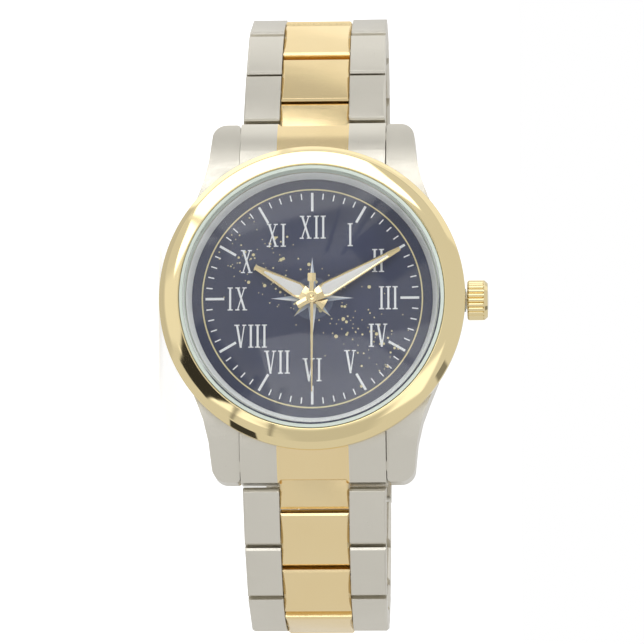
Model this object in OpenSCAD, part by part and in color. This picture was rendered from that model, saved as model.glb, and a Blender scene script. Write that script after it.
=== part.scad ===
// Three-hand quartz wristwatch on a closed bracelet of staggered links with a fold-over clasp.
// The watch lies on its 9 o'clock side with the crown up: 12 o'clock points to -X, the dial
// faces -Y, and the origin is the centre of the case back's flat face.
// The modules use the watch's own frame: x to 3 o'clock, y to 12 o'clock, z out of the dial,
// with z = 0 on the case back. stand() turns that frame into the part's.

/* [Case] */
// Radius of the case middle
case_r = 20.3; // [19.8:0.1:20.6]
// Height of the case middle
case_h = 6.0; // [5.8:0.1:7]
// Radius of the bore that holds the movement
case_bore_r = 15.2; // [15.2:0.1:16]
// Thickness of the case back's flange
back_flange_t = 1.15; // [1:0.05:1.5]
// Inset of the case back's flange from the case's wall
back_inset = 1.9; // [1.5:0.1:2.8]
// Height of the crown and stem axis above the case back
stem_z = 4.6; // [4.55:0.01:4.65]
// Thickness of one lug
lug_t = 4.25; // [3.6:0.05:4.6]
// Reach of a lug beyond the case middle
lug_reach = 4.6; // [4.2:0.1:5.2]
// Free width between two lugs
lug_gap = 20.2; // [20:0.1:21]
// Distance from a lug's tip back to the spring bar
lug_pin_inset = 2.6; // [2.4:0.1:2.8]
// Height of a spring bar above the case back
lug_pin_z = 1.8; // [1.7:0.05:1.9]

/* [Bezel, crystal and dial] */
// Overhang of the bezel over the case middle
bezel_overhang = 0.7; // [0.5:0.1:1.2]
// Height of the bezel
bezel_h = 2.8; // [2.7:0.1:3.2]
// Width of the bezel's outer chamfer
bezel_chamfer_w = 0.8; // [0.6:0.1:1.4]
// Radius of the bezel's opening round the crystal
bezel_bore_r = 18.15; // [18.1:0.05:18.4]
// Width of the gasket round the crystal
gasket_w = 0.45; // [0.4:0.05:0.6]
// Thickness of the crystal
crystal_t = 1.4; // [1.2:0.1:1.6]
// Radius of the dial
dial_r = 16.95; // [16.8:0.05:17.1]
// Thickness of the dial
dial_t = 0.4; // [0.3:0.05:0.4]
// Inner radius of the sloping dial ring
dial_ring_r = 16.3; // [16:0.1:16.4]
// Height of the dial ring
dial_ring_h = 1.4; // [1.2:0.1:1.5]

/* [Crown] */
// Radius of the crown
crown_r = 2.75; // [2.5:0.05:2.8]
// Length of the crown
crown_len = 2.8; // [2.4:0.1:3.2]
// Number of flutes round the crown
crown_flutes = 24; // [16:1:28]
// Travel of the crown from pressed in to pulled out
crown_travel = 1.2; // [0.8:0.1:1.3]
// Radius of the stem
stem_r = 0.4; // [0.35:0.01:0.42]

/* [Hands] */
// Length of the hour hand from the centre
hour_len = 8.9; // [8:0.1:10]
// Length of the minute hand from the centre
minute_len = 13.7; // [12:0.1:15]
// Length of the second hand from the centre
second_len = 13; // [12:0.1:15]
// Widest width of the hour and minute hands
hand_w = 2; // [1.6:0.1:2.4]
// Thickness of a hand
hand_t = 0.2; // [0.15:0.01:0.22]

/* [Bracelet] */
// Distance from one link to the next of its kind
link_pitch = 8; // [7.8:0.1:8.2]
// Thickness of a link
link_t = 3; // [2.8:0.1:3.2]
// Gap between the ends of two links
link_gap = 0.2; // [0.2:0.05:0.3]
// Distance from a pin to the near end of its link, gap left out
short_heel = 1.55; // [1.5:0.05:1.7]
// Height of the bevel at a link's outer corners
link_bevel = 0.45; // [0.3:0.05:0.5]
// Radius of a link pin
link_pin_r = 0.5; // [0.4:0.05:0.55]
// Width of the bracelet at the lugs
band_w = 19.8; // [19:0.1:20]
// Width of the bracelet at the clasp
band_end_w = 18; // [17.5:0.1:18.5]
// Width of a centre link at the lugs
centre_w = 9.5; // [9:0.1:10]
// Width of a centre link at the clasp
centre_end_w = 8.8; // [8.4:0.1:9.2]
// Distance from the spring bar to the first link pin
first_reach = 4.5; // [4.4:0.1:4.6]

/* [Clasp] */
// Radius of the clasp's curve, at half of its thickness
clasp_r = 60; // [58:0.5:64]
// Thickness of the clasp's cover
cover_t = 0.9; // [0.7:0.05:1]
// Thickness of the two blades
blade_t = 0.8; // [0.7:0.05:0.8]
// Length of the cover beyond the blades' hinge
mouth_len = 9; // [8.5:0.1:10]
// Radius of the clasp's hinge pins
clasp_pin_r = 0.35; // [0.3:0.01:0.38]

/* [Hidden] */
$fn = 64;
SIDES = [12, 6];
LINKS = 7;

// Clearances: flat seats, running pins, press seats in one body, and the cut pivot at the clasp
seat = 0.05;
play = 0.05;
press = 0.02;
side_play = 0.1;
cut_gap = 0.4;
big = 60;

// Heights in the case
case_z0 = back_flange_t + seat;
case_z1 = case_z0 + case_h;
bezel_z1 = case_z1 + bezel_h;
dial_z1 = case_z1;
dial_z0 = dial_z1 - dial_t;
plate_z1 = dial_z0 - seat;
plate_z0 = stem_z + stem_r + 0.1;

// Case and case back
back_r = case_r - back_inset;
case_chamfer_w = 1.4;
case_chamfer_h = 1.2;
spigot_gap = 0.1;
spigot_w = 1;
back_wall = back_flange_t - 0.2;
back_gasket_h = 0.23;
notch_w = 1.8;
notch_depth = 0.5;

// Bezel and crystal
bezel_r = case_r + bezel_overhang;
bezel_top_r = bezel_r - bezel_chamfer_w;
bezel_dome = 0.4;
bezel_chamfer_h = 1;
bezel_lip_w = 0.45;
crystal_rise = 0.2;
crystal_bevel = 0.35;
crystal_z1 = bezel_z1 + crystal_rise;
crystal_z0 = crystal_z1 - crystal_t;
crystal_r = bezel_bore_r - gasket_w - seat;
lip_z = crystal_z0 - seat;
lip_r = bezel_bore_r - gasket_w - bezel_lip_w;

// Lugs and end links
lug_tip = case_r + lug_reach;
lug_pin_y = lug_tip - lug_pin_inset;
lug_root_y = lug_tip - 13.9;
lug_top_y = lug_tip - 8.9;
lug_under_y = lug_tip - 12.9;
lug_w = 3.85;
lug_outer_w = lug_gap / 2 + lug_w;
lug_corner_r = 2;
lug_inner_r = 0.5;
lug_top_r = 18;
lug_under_r = 150;
lug_under_o = case_z0 - sqrt(pow(lug_under_r, 2) - pow(lug_under_y, 2));
lug_tip_z = lug_t - 0.35;
end_link_root_y = lug_tip - 10.9;
end_link_top_r = 9;
end_link_y = lug_tip + 0.1;
lip_y = lug_tip - 0.3;
pocket_gap = 0.12;
spring_bar_r = 0.75;
spring_tip_r = 0.4;
tip_depth = 1.4;

// Crown, its tube and the clutch wheel on the stem's square
crown_x0 = bezel_r + 0.2;
tube_r = 1.2;
tube_play = 0.1;
tube_x1 = crown_x0 + crown_travel + 0.4;
skirt_depth = tube_x1 - crown_x0 + 0.2;
roof_cap = 0.4;
clutch_x = 5.5;
clutch_w = 0.8;
square_half = 0.25;
square_x0 = clutch_x - crown_travel - 0.2;
square_x1 = clutch_x + clutch_w + 1.1;

// Bracelet at rest: each body's slope below the dial's plane, from the lug to the clasp.
// Centre and side links take turns, so the two lists have one value for every pin.
rest_12 = [16, 26, 31, 36, 48, 66, 84, 101, 116, 128, 138, 146, 152, 157];
rest_6 = [12, 20, 29, 38, 48, 64, 81, 97, 111, 123, 133, 141, 148, 154];
long_heel = link_pitch / 2 - short_heel;
half_t = link_t / 2;
under_slope = 0.85;
under_top = -0.3;
link_crown_r = 40;
edge_bevel = 0.35;
chain_len = first_reach + (2 * LINKS - 1) * link_pitch / 2;

function rest(side) = side == 12 ? rest_12 : rest_6;
function reach(i) = i == 0 ? first_reach : link_pitch / 2;
function chain_s(i) = i == 0 ? 0 : chain_s(i - 1) + reach(i - 1);
function pivot(side, i) = i == 0
    ? [lug_pin_y, lug_pin_z]
    : pivot(side, i - 1) + reach(i - 1) * [cos(rest(side)[i - 1]), -sin(rest(side)[i - 1])];
function band_half(s) = (band_w + (band_end_w - band_w) * s / chain_len) / 2;
function centre_half(s) = (centre_w + (centre_end_w - centre_w) * s / chain_len) / 2;

// Centre of the circle of radius r through p and q, to the right on the way from p to q
function arc_centre(p, q, r) = let (d = q - p, l = norm(d), h = sqrt(r * r - l * l / 4))
    (p + q) / 2 + h / l * [d.y, -d.x];

// Clasp: angles are measured at the centre of its curve from straight down towards 12 o'clock
clasp_a = pivot(12, 2 * LINKS);
clasp_b = [-pivot(6, 2 * LINKS).x, pivot(6, 2 * LINKS).y];
clasp_o = arc_centre(clasp_a, clasp_b, clasp_r);
angle_a = atan2(clasp_a.x - clasp_o.x, clasp_o.y - clasp_a.y);
angle_b = atan2(clasp_b.x - clasp_o.x, clasp_o.y - clasp_b.y);
deg_per_mm = 180 / (PI * clasp_r);
inner_level = -half_t - 0.2;
outer_level = -0.5;
cover_level = 0.75;
cover_mid = cover_level + cover_t / 2;
knuckle_r = 0.75;
fold_knuckle_r = 0.9;
fold_level = -0.6;
cover_hinge_gap = 2.15;
cover_hinge_a = angle_a - (long_heel + cover_hinge_gap) * deg_per_mm;
cover_hinge_level = -0.1;
fold_a = angle_b + (long_heel + cut_gap + mouth_len - link_gap / 2) * deg_per_mm;
cover_end_a = angle_b + (long_heel + cut_gap - link_gap / 2) * deg_per_mm;
cheek_t = 1;
tongue_back = link_pin_r + 0.15;
tongue_root = 3.5;
tongue_level = -1.2;
tongue_inset = 0.1;
blade_half = band_end_w / 2 - cheek_t - 0.2;
fold_half = 3;
fold_gap = 0.1;
blade_nose = 1.6;
cutter_w = 20;

// Train: positions across the movement as seen from the dial, and heights
third_xy = 3.06 * [cos(130), sin(130)];
fifth_xy = [1.92, 0];
rotor_xy = fifth_xy + 1.68 * [cos(-30), sin(-30)];
minute_wheel_xy = [3, 0];
pillar_xy = [[-4.5, 6.2], [6.8, 4.4], [-7.2, 2.2]];
pillar_r = 0.8;
pad_r = 1.4;
board_r0 = norm(pillar_xy[1]) + pad_r + 0.1;
battery_xy = [-6.6, -6.6];
battery_r = 4.75;
battery_h = 2.05;
coil_xy = [5.4, -8.6];
arbor_r = 0.12;
bridge_z0 = back_flange_t + 1.2;
bridge_t = 0.6;
bridge_z1 = bridge_z0 + bridge_t;
seconds_z = 3.2;
train_z = 3.7;
centre_z = 4.45;
wheel_t = 0.25;
works_z = plate_z1 - 0.8;
hour_wheel_z = plate_z1 - 0.35;
hour_module = 0.12;
motion_module = 0.125;
rotor_module = 0.08;
seconds_module = 0.08;
fifth_leaves = 8;
works_gap = 0.22;

// Hands: heights, and clockwise angles from 12 o'clock at rest
hour_z = dial_z1 + 0.45;
minute_z = hour_z + hand_t + 0.25;
second_z = minute_z + hand_t + 0.2;
hour_tube_r = 0.8;
cannon_r = 0.5;
second_arbor_r = 0.15;
hour_rest = 299;
minute_rest = 61;
second_rest = 180;

module stand() {
    rotate([90, -90, 0]) children();
}

module sixward(side) {
    if (side == 12) children();
    else mirror([0, 1, 0]) children();
}

// A cylinder along x through [y, z], centred on the watch's middle
module cross_pin(yz, r, l) {
    translate([0, yz.x, yz.y]) rotate([0, 90, 0]) cylinder(r = r, h = l, center = true);
}

// A profile of [y, z] points given a width along x, centred
module slab(w) {
    translate([-w / 2, 0, 0]) rotate([90, 0, 90]) linear_extrude(w) children();
}

module ring(r0, r1, z0, z1) {
    translate([0, 0, z0]) difference() {
        cylinder(r = r1, h = z1 - z0, $fn = 128);
        translate([0, 0, -1]) cylinder(r = r0, h = z1 - z0 + 2, $fn = 128);
    }
}

module disc(r, z0, z1) {
    translate([0, 0, z0]) cylinder(r = r, h = z1 - z0);
}

// Case

module lug_plan() {
    inner = lug_gap / 2;
    polygon([
        [inner, lug_root_y], [lug_outer_w + 3.25, lug_root_y], [lug_outer_w + 1.95, lug_tip - 10.7],
        [lug_outer_w + 1.05, lug_tip - 8.3], [lug_outer_w + 0.35, lug_tip - 5.3],
        [lug_outer_w, lug_tip - lug_corner_r], [lug_outer_w - lug_corner_r, lug_tip],
        [inner + lug_inner_r, lug_tip], [inner, lug_tip - lug_inner_r]
    ]);
    translate([lug_outer_w - lug_corner_r, lug_tip - lug_corner_r]) circle(lug_corner_r);
    translate([inner + lug_inner_r, lug_tip - lug_inner_r]) circle(lug_inner_r);
}

module lug_curves() {
    top = arc_centre([lug_top_y, case_z1 - 0.1], [lug_tip, lug_tip_z], lug_top_r);
    intersection() {
        cross_pin(top, lug_top_r, big);
        difference() {
            translate([-big / 2, lug_root_y, -10]) cube([big, 20, 20]);
            cross_pin([0, lug_under_o], lug_under_r, big + 2, $fn = 128);
        }
    }
}

// The lugs start outside the case back's flange, so they reach neither it nor the dial's seat
module lugs() {
    for (sx = [0, 1], sy = [0, 1]) mirror([sx, 0, 0]) mirror([0, sy, 0]) difference() {
        intersection() {
            translate([0, 0, -5]) linear_extrude(20) lug_plan();
            lug_curves();
        }
        disc(back_r + seat, -6, 20, $fn = 128);
    }
}

module case_middle() {
    tube_x0 = case_r - 1;
    color("lightgray") difference() {
        union() {
            rotate_extrude($fn = 128) polygon([
                [case_bore_r, case_z0], [case_r - case_chamfer_w, case_z0],
                [case_r, case_z0 + case_chamfer_h], [case_r, case_z1],
                [dial_r + seat, case_z1], [dial_r + seat, dial_z0 - seat],
                [case_bore_r, dial_z0 - seat]
            ]);
            lugs();
            translate([tube_x0, 0, stem_z]) rotate([0, 90, 0]) cylinder(r = tube_r, h = tube_x1 - tube_x0);
        }
        translate([case_bore_r - 2, 0, stem_z]) rotate([0, 90, 0]) cylinder(r = stem_r + 0.2, h = 12);
        for (sy = [-1, 1])
            cross_pin([sy * lug_pin_y, lug_pin_z], spring_tip_r + play, lug_gap + 2 * tip_depth);
        translate([0, 0, -1]) cylinder(r = case_bore_r, h = dial_z0 - seat + 1, $fn = 128);
    }
}

module bezel() {
    color("gold") rotate_extrude($fn = 128) polygon([
        [lip_r, case_z1 + seat], [bezel_r - 0.3, case_z1 + seat], [bezel_r, case_z1 + 0.35],
        [bezel_r, bezel_z1 - bezel_dome - bezel_chamfer_h], [bezel_top_r, bezel_z1 - bezel_dome],
        [bezel_bore_r + 0.2, bezel_z1], [bezel_bore_r, bezel_z1 - 0.15],
        [bezel_bore_r, lip_z], [lip_r, lip_z]
    ]);
}

module crystal() {
    color("lightcyan", 0.35) rotate_extrude($fn = 128) polygon([
        [0, crystal_z0], [crystal_r, crystal_z0], [crystal_r, crystal_z1 - crystal_bevel],
        [crystal_r - crystal_bevel, crystal_z1], [0, crystal_z1]
    ]);
}

// Rings that seal the crystal, the case back and the crown
module gaskets() {
    color("whitesmoke") {
        ring(crystal_r + press, bezel_bore_r - press, crystal_z0, bezel_z1 - seat);
        ring(case_bore_r - spigot_w, case_bore_r - 0.3, bridge_z0 - back_gasket_h - seat, bridge_z0 - seat);
        translate([case_r + 0.2, 0, stem_z]) rotate([0, 90, 0]) difference() {
            cylinder(r = tube_r + 0.4, h = crown_x0 - case_r - 0.4);
            translate([0, 0, -1]) cylinder(r = tube_r + press, h = big);
        }
    }
}

module dial_ring() {
    outer = lip_r - seat;
    color("white") rotate_extrude($fn = 128) polygon([
        [dial_ring_r, dial_z1 + seat], [outer, dial_z1 + seat], [outer, dial_z1 + dial_ring_h],
        [outer - 0.15, dial_z1 + dial_ring_h]
    ]);
}

module dial() {
    color("slategray") ring(hour_tube_r + 0.15, dial_r, dial_z0, dial_z1 - 0.02);
}

module case_back() {
    spigot_r = case_bore_r - spigot_gap;
    spigot_z1 = bridge_z0 - back_gasket_h - 2 * seat;
    color("silver") difference() {
        rotate_extrude($fn = 128) polygon([
            [0, 0], [back_r - 0.8, 0], [back_r, 0.6], [back_r, back_flange_t],
            [spigot_r, back_flange_t], [spigot_r, spigot_z1],
            [spigot_r - spigot_w, spigot_z1], [spigot_r - spigot_w, back_wall], [0, back_wall]
        ]);
        for (a = [0:60:300]) rotate([0, 0, a])
            translate([back_r - notch_w / 2, -notch_w / 2, -1]) cube([3, notch_w, 1 + notch_depth]);
    }
}

// Movement

// Wheels have trapezoid teeth; module_mm is the pitch diameter over the number of teeth
function gear_tip(teeth, module_mm) = (teeth / 2 + 0.8) * module_mm;

module gear(teeth, module_mm, t) {
    r = teeth * module_mm / 2;
    root = r - 1.1 * module_mm;
    tip = gear_tip(teeth, module_mm);
    step = 360 / teeth;
    linear_extrude(t) polygon([
        for (i = [0:teeth - 1], k = [[-0.3, root], [-0.12, tip], [0.12, tip], [0.3, root]])
            k[1] * [cos((i + k[0]) * step), sin((i + k[0]) * step)]
    ]);
}

// Wheel with a bore and four lightening holes in its web
module wheel(teeth, module_mm, t, bore_r) {
    r = teeth * module_mm / 2;
    difference() {
        gear(teeth, module_mm, t);
        translate([0, 0, -1]) cylinder(r = bore_r, h = t + 2);
        if (r > 1.3) for (a = [45:90:315])
            rotate([0, 0, a]) translate([0.56 * r, 0, -1]) cylinder(r = 0.2 * r, h = t + 2, $fn = 24);
    }
}

module at_xy(xy, z) {
    translate([xy.x, xy.y, z]) children();
}

module main_plate() {
    color("burlywood") difference() {
        union() {
            disc(case_bore_r - 0.15, plate_z0, plate_z1);
            for (p = pillar_xy) at_xy(p, bridge_z1) cylinder(r = pillar_r, h = plate_z0 - bridge_z1 + 0.1);
        }
        disc(cannon_r + 0.15, 0, 20);
        disc(gear_tip(40, hour_module) + works_gap, works_z - 0.1, 20);
        at_xy(minute_wheel_xy, works_z - 0.1) cylinder(r = gear_tip(36, motion_module) + works_gap, h = 9);
        translate([clutch_x - 0.2, -1.5, 0]) cube([clutch_w + 0.4, 3, works_z + 0.1]);
        for (p = [third_xy, rotor_xy]) at_xy(p, 0) cylinder(r = arbor_r + 0.02, h = works_z - 0.2);
    }
    color("silver") at_xy(minute_wheel_xy, works_z - 0.1) cylinder(r = 0.22, h = plate_z1 - works_z + 0.1);
}

module train_bridge() {
    color("silver") difference() {
        union() {
            translate([0, 0, bridge_z0]) linear_extrude(bridge_t) {
                polygon([
                    [-6, 7], [-8.6, 2.4], [-6, 0], [-2.6, -2.6], [2, -2.6], [7.8, 3.6], [6, 5.8], [1, 7]
                ]);
                for (p = pillar_xy) translate(p) circle(pad_r);
            }
            at_xy(fifth_xy, bridge_z1) cylinder(r = 0.12, h = train_z + wheel_t + 0.1 - bridge_z1);
        }
        disc(second_arbor_r + 0.02, 0, 9);
        for (p = [third_xy, rotor_xy]) at_xy(p, 0) cylinder(r = arbor_r + 0.02, h = 9);
        for (p = pillar_xy) at_xy(p, 0) cylinder(r = 0.35, h = 9);
    }
}

module coil() {
    at_xy(coil_xy, 3.55) rotate([0, 90, 0]) {
        color("chocolate") cylinder(r = 1.05, h = 7.4, center = true);
        color("white") for (s = [-1, 1]) translate([0, 0, s * 4]) cylinder(r = 1.15, h = 0.5, center = true);
    }
}

module stator() {
    z0 = 2.95 + seat;
    color("gray") difference() {
        union() {
            translate([0, 0, z0]) linear_extrude(0.35) {
                at_xy(rotor_xy, 0) circle(1.75);
                polygon([[2.2, -2.2], [5, -1.9], [9.9, -6.8], [10.3, -7.4], [8.9, -7.4]]);
                polygon([[2, -1.8], [3.6, -2.6], [1.9, -7.4], [0.5, -7.4]]);
            }
        }
        at_xy(rotor_xy, 0) cylinder(r = 1.05, h = 9);
        at_xy(fifth_xy, 0) cylinder(r = gear_tip(fifth_leaves, seconds_module) + works_gap / 2, h = 9);
    }
}

module battery() {
    color("silver") at_xy(battery_xy, bridge_z0) {
        cylinder(r = battery_r, h = battery_h - 0.4);
        translate([0, 0, battery_h - 0.4]) cylinder(r = battery_r - 0.7, h = 0.4);
    }
}

module circuit_board() {
    color("darkgreen") intersection() {
        ring(board_r0, 14.2, bridge_z0, bridge_z0 + 0.3);
        translate([-12, 3.4, 0]) cube([24, 14, 9]);
    }
    color("black") at_xy([0, 11.2], bridge_z0 + 0.32) translate([-1.6, -1.3, 0]) cube([3.2, 2.6, 0.5]);
}

module rotor() {
    at_xy(rotor_xy, 0) {
        color("dimgray") disc(0.9, 2.97 + seat, 3.45);
        color("silver") disc(arbor_r, bridge_z0 + 0.1, plate_z0 + 0.4);
        color("gold") translate([0, 0, train_z - 0.05]) gear(6, rotor_module, 0.4);
        color("silver") disc(0.16, 3.44, train_z);
    }
}

module fifth_wheel() {
    color("gold") at_xy(fifth_xy, 0) difference() {
        union() {
            translate([0, 0, train_z]) gear(36, rotor_module, wheel_t);
            translate([0, 0, seconds_z - 0.1])
                gear(fifth_leaves, seconds_module, train_z - seconds_z + 0.15);
        }
        cylinder(r = 0.15, h = 9);
    }
}

module third_wheel() {
    color("gold") at_xy(third_xy, 0) {
        translate([0, 0, train_z]) wheel(60, 0.09, wheel_t, arbor_r - 0.01);
        translate([0, 0, centre_z - 0.1]) gear(8, 0.085, wheel_t + 0.2);
        disc(arbor_r, bridge_z0 + 0.1, plate_z0 + 0.4);
    }
}

module minute_wheel() {
    color("gold") at_xy(minute_wheel_xy, 0) difference() {
        union() {
            translate([0, 0, works_z]) gear(36, motion_module, wheel_t);
            translate([0, 0, works_z + wheel_t - 0.01]) gear(10, hour_module, hour_wheel_z - works_z);
        }
        cylinder(r = 0.25, h = 9);
    }
}

// Sliding pinion that the stem's square end turns
module clutch_wheel() {
    hole = 2 * (square_half + press);
    color("silver") translate([clutch_x, 0, stem_z]) rotate([0, 90, 0]) difference() {
        union() {
            cylinder(r = 0.8, h = clutch_w);
            gear(16, 0.13, clutch_w / 2);
        }
        translate([-hole / 2, -hole / 2, -1]) cube([hole, hole, 3]);
    }
}

module hour_wheel() {
    color("gold") difference() {
        union() {
            translate([0, 0, hour_wheel_z]) gear(40, hour_module, wheel_t);
            disc(hour_tube_r, hour_wheel_z, hour_z + hand_t);
        }
        disc(cannon_r + play, 0, 20);
    }
}

module cannon_pinion() {
    color("gold") difference() {
        union() {
            translate([0, 0, centre_z]) wheel(64, 0.085, wheel_t, cannon_r - 0.1);
            disc(cannon_r, centre_z, minute_z + hand_t);
            translate([0, 0, works_z - 0.05]) gear(12, motion_module, wheel_t + 0.1);
        }
        disc(second_arbor_r + play, 0, 20);
    }
}

module seconds_wheel() {
    color("gold") {
        translate([0, 0, seconds_z]) wheel(40, seconds_module, wheel_t, second_arbor_r - 0.01);
        translate([0, 0, train_z - 0.05]) gear(8, 0.09, 0.4);
        disc(second_arbor_r, bridge_z0 + 0.1, second_z + hand_t);
    }
}

// Hands

// Hands are drawn along +y and turned clockwise to their place
module clockwise(a) {
    rotate([0, 0, -a]) children();
}

function hand_half(len, k) = k * hand_w * (len > 10 ? 0.5 : 0.54);

module hand_plan(len) {
    polygon([
        [0, -2.6], [0.45, -1.2], [hand_half(len, 0.62), 0.6], [hand_half(len, 1), 0.24 * len],
        [0.24, len - 0.35], [0.1, len], [-0.1, len], [-0.24, len - 0.35],
        [-hand_half(len, 1), 0.24 * len], [-hand_half(len, 0.62), 0.6], [-0.45, -1.2]
    ]);
}

// Lume channel of a hand, or the lume that fills it when grown is a negative clearance
module lume_plan(len, grown) {
    wide = hand_half(len, 1) - 0.42 + grown;
    polygon([
        [-0.32 - grown, 0.2 * len - grown], [0.32 + grown, 0.2 * len - grown], [wide, 0.27 * len],
        [0.13 + grown, 0.84 * len + grown], [-0.13 - grown, 0.84 * len + grown], [-wide, 0.27 * len]
    ]);
}

module lume_hand(len, z, bore_r) {
    translate([0, 0, z]) {
        color("gold") difference() {
            linear_extrude(hand_t) union() {
                hand_plan(len);
                circle(bore_r + 0.35);
            }
            translate([0, 0, -1]) linear_extrude(3) lume_plan(len, 0);
            translate([0, 0, -1]) cylinder(r = bore_r, h = 3);
        }
        color("white") translate([0, 0, 0.03]) linear_extrude(hand_t - 0.04) lume_plan(len, -press);
    }
}

module hour_hand() {
    clockwise(hour_rest) lume_hand(hour_len, hour_z, hour_tube_r + 0.01);
}

module minute_hand() {
    clockwise(minute_rest) lume_hand(minute_len, minute_z, cannon_r + 0.01);
}

module second_hand() {
    color("gold") clockwise(second_rest) translate([0, 0, second_z]) difference() {
        union() {
            linear_extrude(hand_t * 0.8) {
                polygon([[-0.2, 0], [0.2, 0], [0.1, second_len], [-0.1, second_len]]);
                polygon([[-0.2, 0], [-0.3, -2.3], [0.3, -2.3], [0.2, 0]]);
                translate([-0.55, -3.4]) square([1.1, 1.15]);
            }
            cylinder(r = 0.7, h = hand_t);
        }
        translate([0, 0, -1]) cylinder(r = second_arbor_r + 0.01, h = 3);
    }
}

// Crown

module crown() {
    skirt_r = tube_r + tube_play;
    color("gold") translate([crown_x0, 0, stem_z]) rotate([0, 90, 0]) difference() {
        rotate_extrude() polygon([
            [0, skirt_depth], [skirt_r, skirt_depth], [skirt_r, 0], [crown_r - 0.2, 0], [crown_r, 0.2],
            [crown_r, crown_len - 0.5], [crown_r - 0.45, crown_len - 0.1], [0, crown_len]
        ]);
        for (i = [0:crown_flutes - 1]) rotate([0, 0, (i + 0.5) * 360 / crown_flutes])
            translate([crown_r + 0.06, 0, -1]) cylinder(r = 0.26, h = 9, $fn = 24);
        cylinder(r = stem_r + press, h = crown_len - roof_cap);
    }
}

module stem() {
    end_x = crown_x0 + crown_len - roof_cap - seat;
    color("silver") translate([0, 0, stem_z]) {
        translate([square_x0, -square_half, -square_half])
            cube([square_x1 - square_x0 + 0.1, 2 * square_half, 2 * square_half]);
        translate([square_x1, 0, 0]) rotate([0, 90, 0]) cylinder(r = stem_r, h = end_x - square_x1);
    }
}

// Bracelet

module end_link(side) {
    half = lug_gap / 2 - side_play;
    pocket = centre_half(0) + pocket_gap;
    roof = lug_pin_z + half_t + 0.25;
    top = arc_centre([case_r + 0.1, case_z1 - 0.15], [end_link_y, lug_tip_z + 0.1], end_link_top_r);
    color("goldenrod") sixward(side) difference() {
        intersection() {
            cross_pin(top, end_link_top_r, big);
            translate([0, 0, -5]) linear_extrude(20) polygon([
                [-half, end_link_root_y], [half, end_link_root_y], [half, end_link_y],
                [pocket - 0.02, end_link_y], [pocket - 0.4, lip_y],
                [0.4 - pocket, lip_y], [0.02 - pocket, end_link_y], [-half, end_link_y]
            ]);
        }
        cross_pin([0, lug_under_o + 0.15], lug_under_r, big, $fn = 128);
        translate([0, 0, -5]) cylinder(r = case_r + 0.15, h = 20, $fn = 128);
        translate([-pocket, end_link_root_y, -5]) cube([2 * pocket, 20, roof + 5]);
        cross_pin([lug_pin_y, lug_pin_z], spring_bar_r + press, big);
    }
}

module spring_bars() {
    barrel = lug_gap - 0.6;
    color("silver") for (sy = [-1, 1]) {
        cross_pin([sy * lug_pin_y, lug_pin_z], spring_bar_r, barrel);
        cross_pin([sy * lug_pin_y, lug_pin_z], spring_tip_r, lug_gap + 2 * tip_depth - 0.2);
    }
}

// Long section of a link as [y, z] points, from its heel behind the first pin to its nose
function link_section(heel, nose) = [
    [-heel, under_top], [-heel, half_t - link_bevel], [link_bevel - heel, half_t],
    [nose - link_bevel, half_t], [nose, half_t - link_bevel], [nose, under_top],
    [nose - under_slope, -half_t], [under_slope - heel, -half_t]
];

// Link between x0 and x1, which are its half widths at its two ends
module link(heel, nose, x0, x1) {
    mid = (nose - heel) / 2;
    intersection() {
        slab(big) polygon(link_section(heel, nose));
        translate([0, 0, -half_t - 1]) linear_extrude(link_t + 2) polygon([
            [x0[0], -heel], [x0[1], -heel], [x1[1], nose], [x1[0], nose]
        ]);
        cross_pin([mid, half_t - link_crown_r], link_crown_r, big, $fn = 256);
    }
}

// Bevels along the outer edges of links as wide as half on each side
module edge_trim(half) {
    for (s = [0, 1], k = [-1, 1]) mirror([s, 0, 0]) translate([half, 0, k * half_t])
        rotate([0, 45, 0]) cube([edge_bevel * 1.41, big, edge_bevel * 1.41], center = true);
}

// Puts the chain's body i of one side in its place at rest
module link_place(side, i) {
    p = pivot(side, i);
    sixward(side) translate([0, p.x, p.y]) rotate([-rest(side)[i], 0, 0]) children();
}

module centre_link(side, n) {
    i = 2 * (n - 1);
    s = chain_s(i);
    heel = n == 1 ? half_t : long_heel - link_gap / 2;
    nose = reach(i) + short_heel - link_gap / 2;
    w0 = centre_half(s - heel);
    w1 = centre_half(s + nose);
    first_bore = n == 1 ? spring_bar_r : link_pin_r;
    color("goldenrod") link_place(side, i) difference() {
        union() {
            link(n == 1 ? 0 : heel, nose, [-w0, w0], [-w1, w1]);
            if (n == 1) cross_pin([0, 0], half_t, 2 * w0);
        }
        edge_trim(w0);
        cross_pin([0, 0], first_bore + play, big);
        cross_pin([reach(i), 0], link_pin_r + play, big);
    }
}

module side_links(side, n) {
    i = 2 * n - 1;
    s = chain_s(i);
    heel = short_heel - link_gap / 2;
    nose = reach(i) + long_heel - link_gap / 2;
    x0 = [centre_half(s - heel) + side_play, band_half(s - heel)];
    x1 = [centre_half(s + nose) + side_play, band_half(s + nose)];
    link_place(side, i) {
        color("silver") for (m = [0, 1]) mirror([m, 0, 0]) difference() {
            link(heel, nose, x0, x1);
            edge_trim(x0[1]);
            for (y = [0, reach(i)]) cross_pin([y, 0], link_pin_r + press, big);
        }
        color("gray") for (y = [0, reach(i)])
            cross_pin([y, 0], link_pin_r, 2 * band_half(s + nose) - 0.5);
    }
}

// Clasp

// Moves to the point of the clasp's curve at an angle, raised by level, y towards 6 o'clock
module on_clasp(a, level) {
    r = clasp_r + level;
    translate([0, clasp_o.x + r * sin(a), clasp_o.y - r * cos(a)]) rotate([a + 180, 0, 0]) children();
}

// Turns a profile of [radius, x] points round the clasp's centre from one angle to another
module clasp_turn(a0, a1) {
    translate([0, clasp_o.x, clasp_o.y]) rotate([a0, 0, 0]) rotate([0, 90, 0])
        rotate_extrude(angle = a1 - a0, $fn = 360) children();
}

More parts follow.
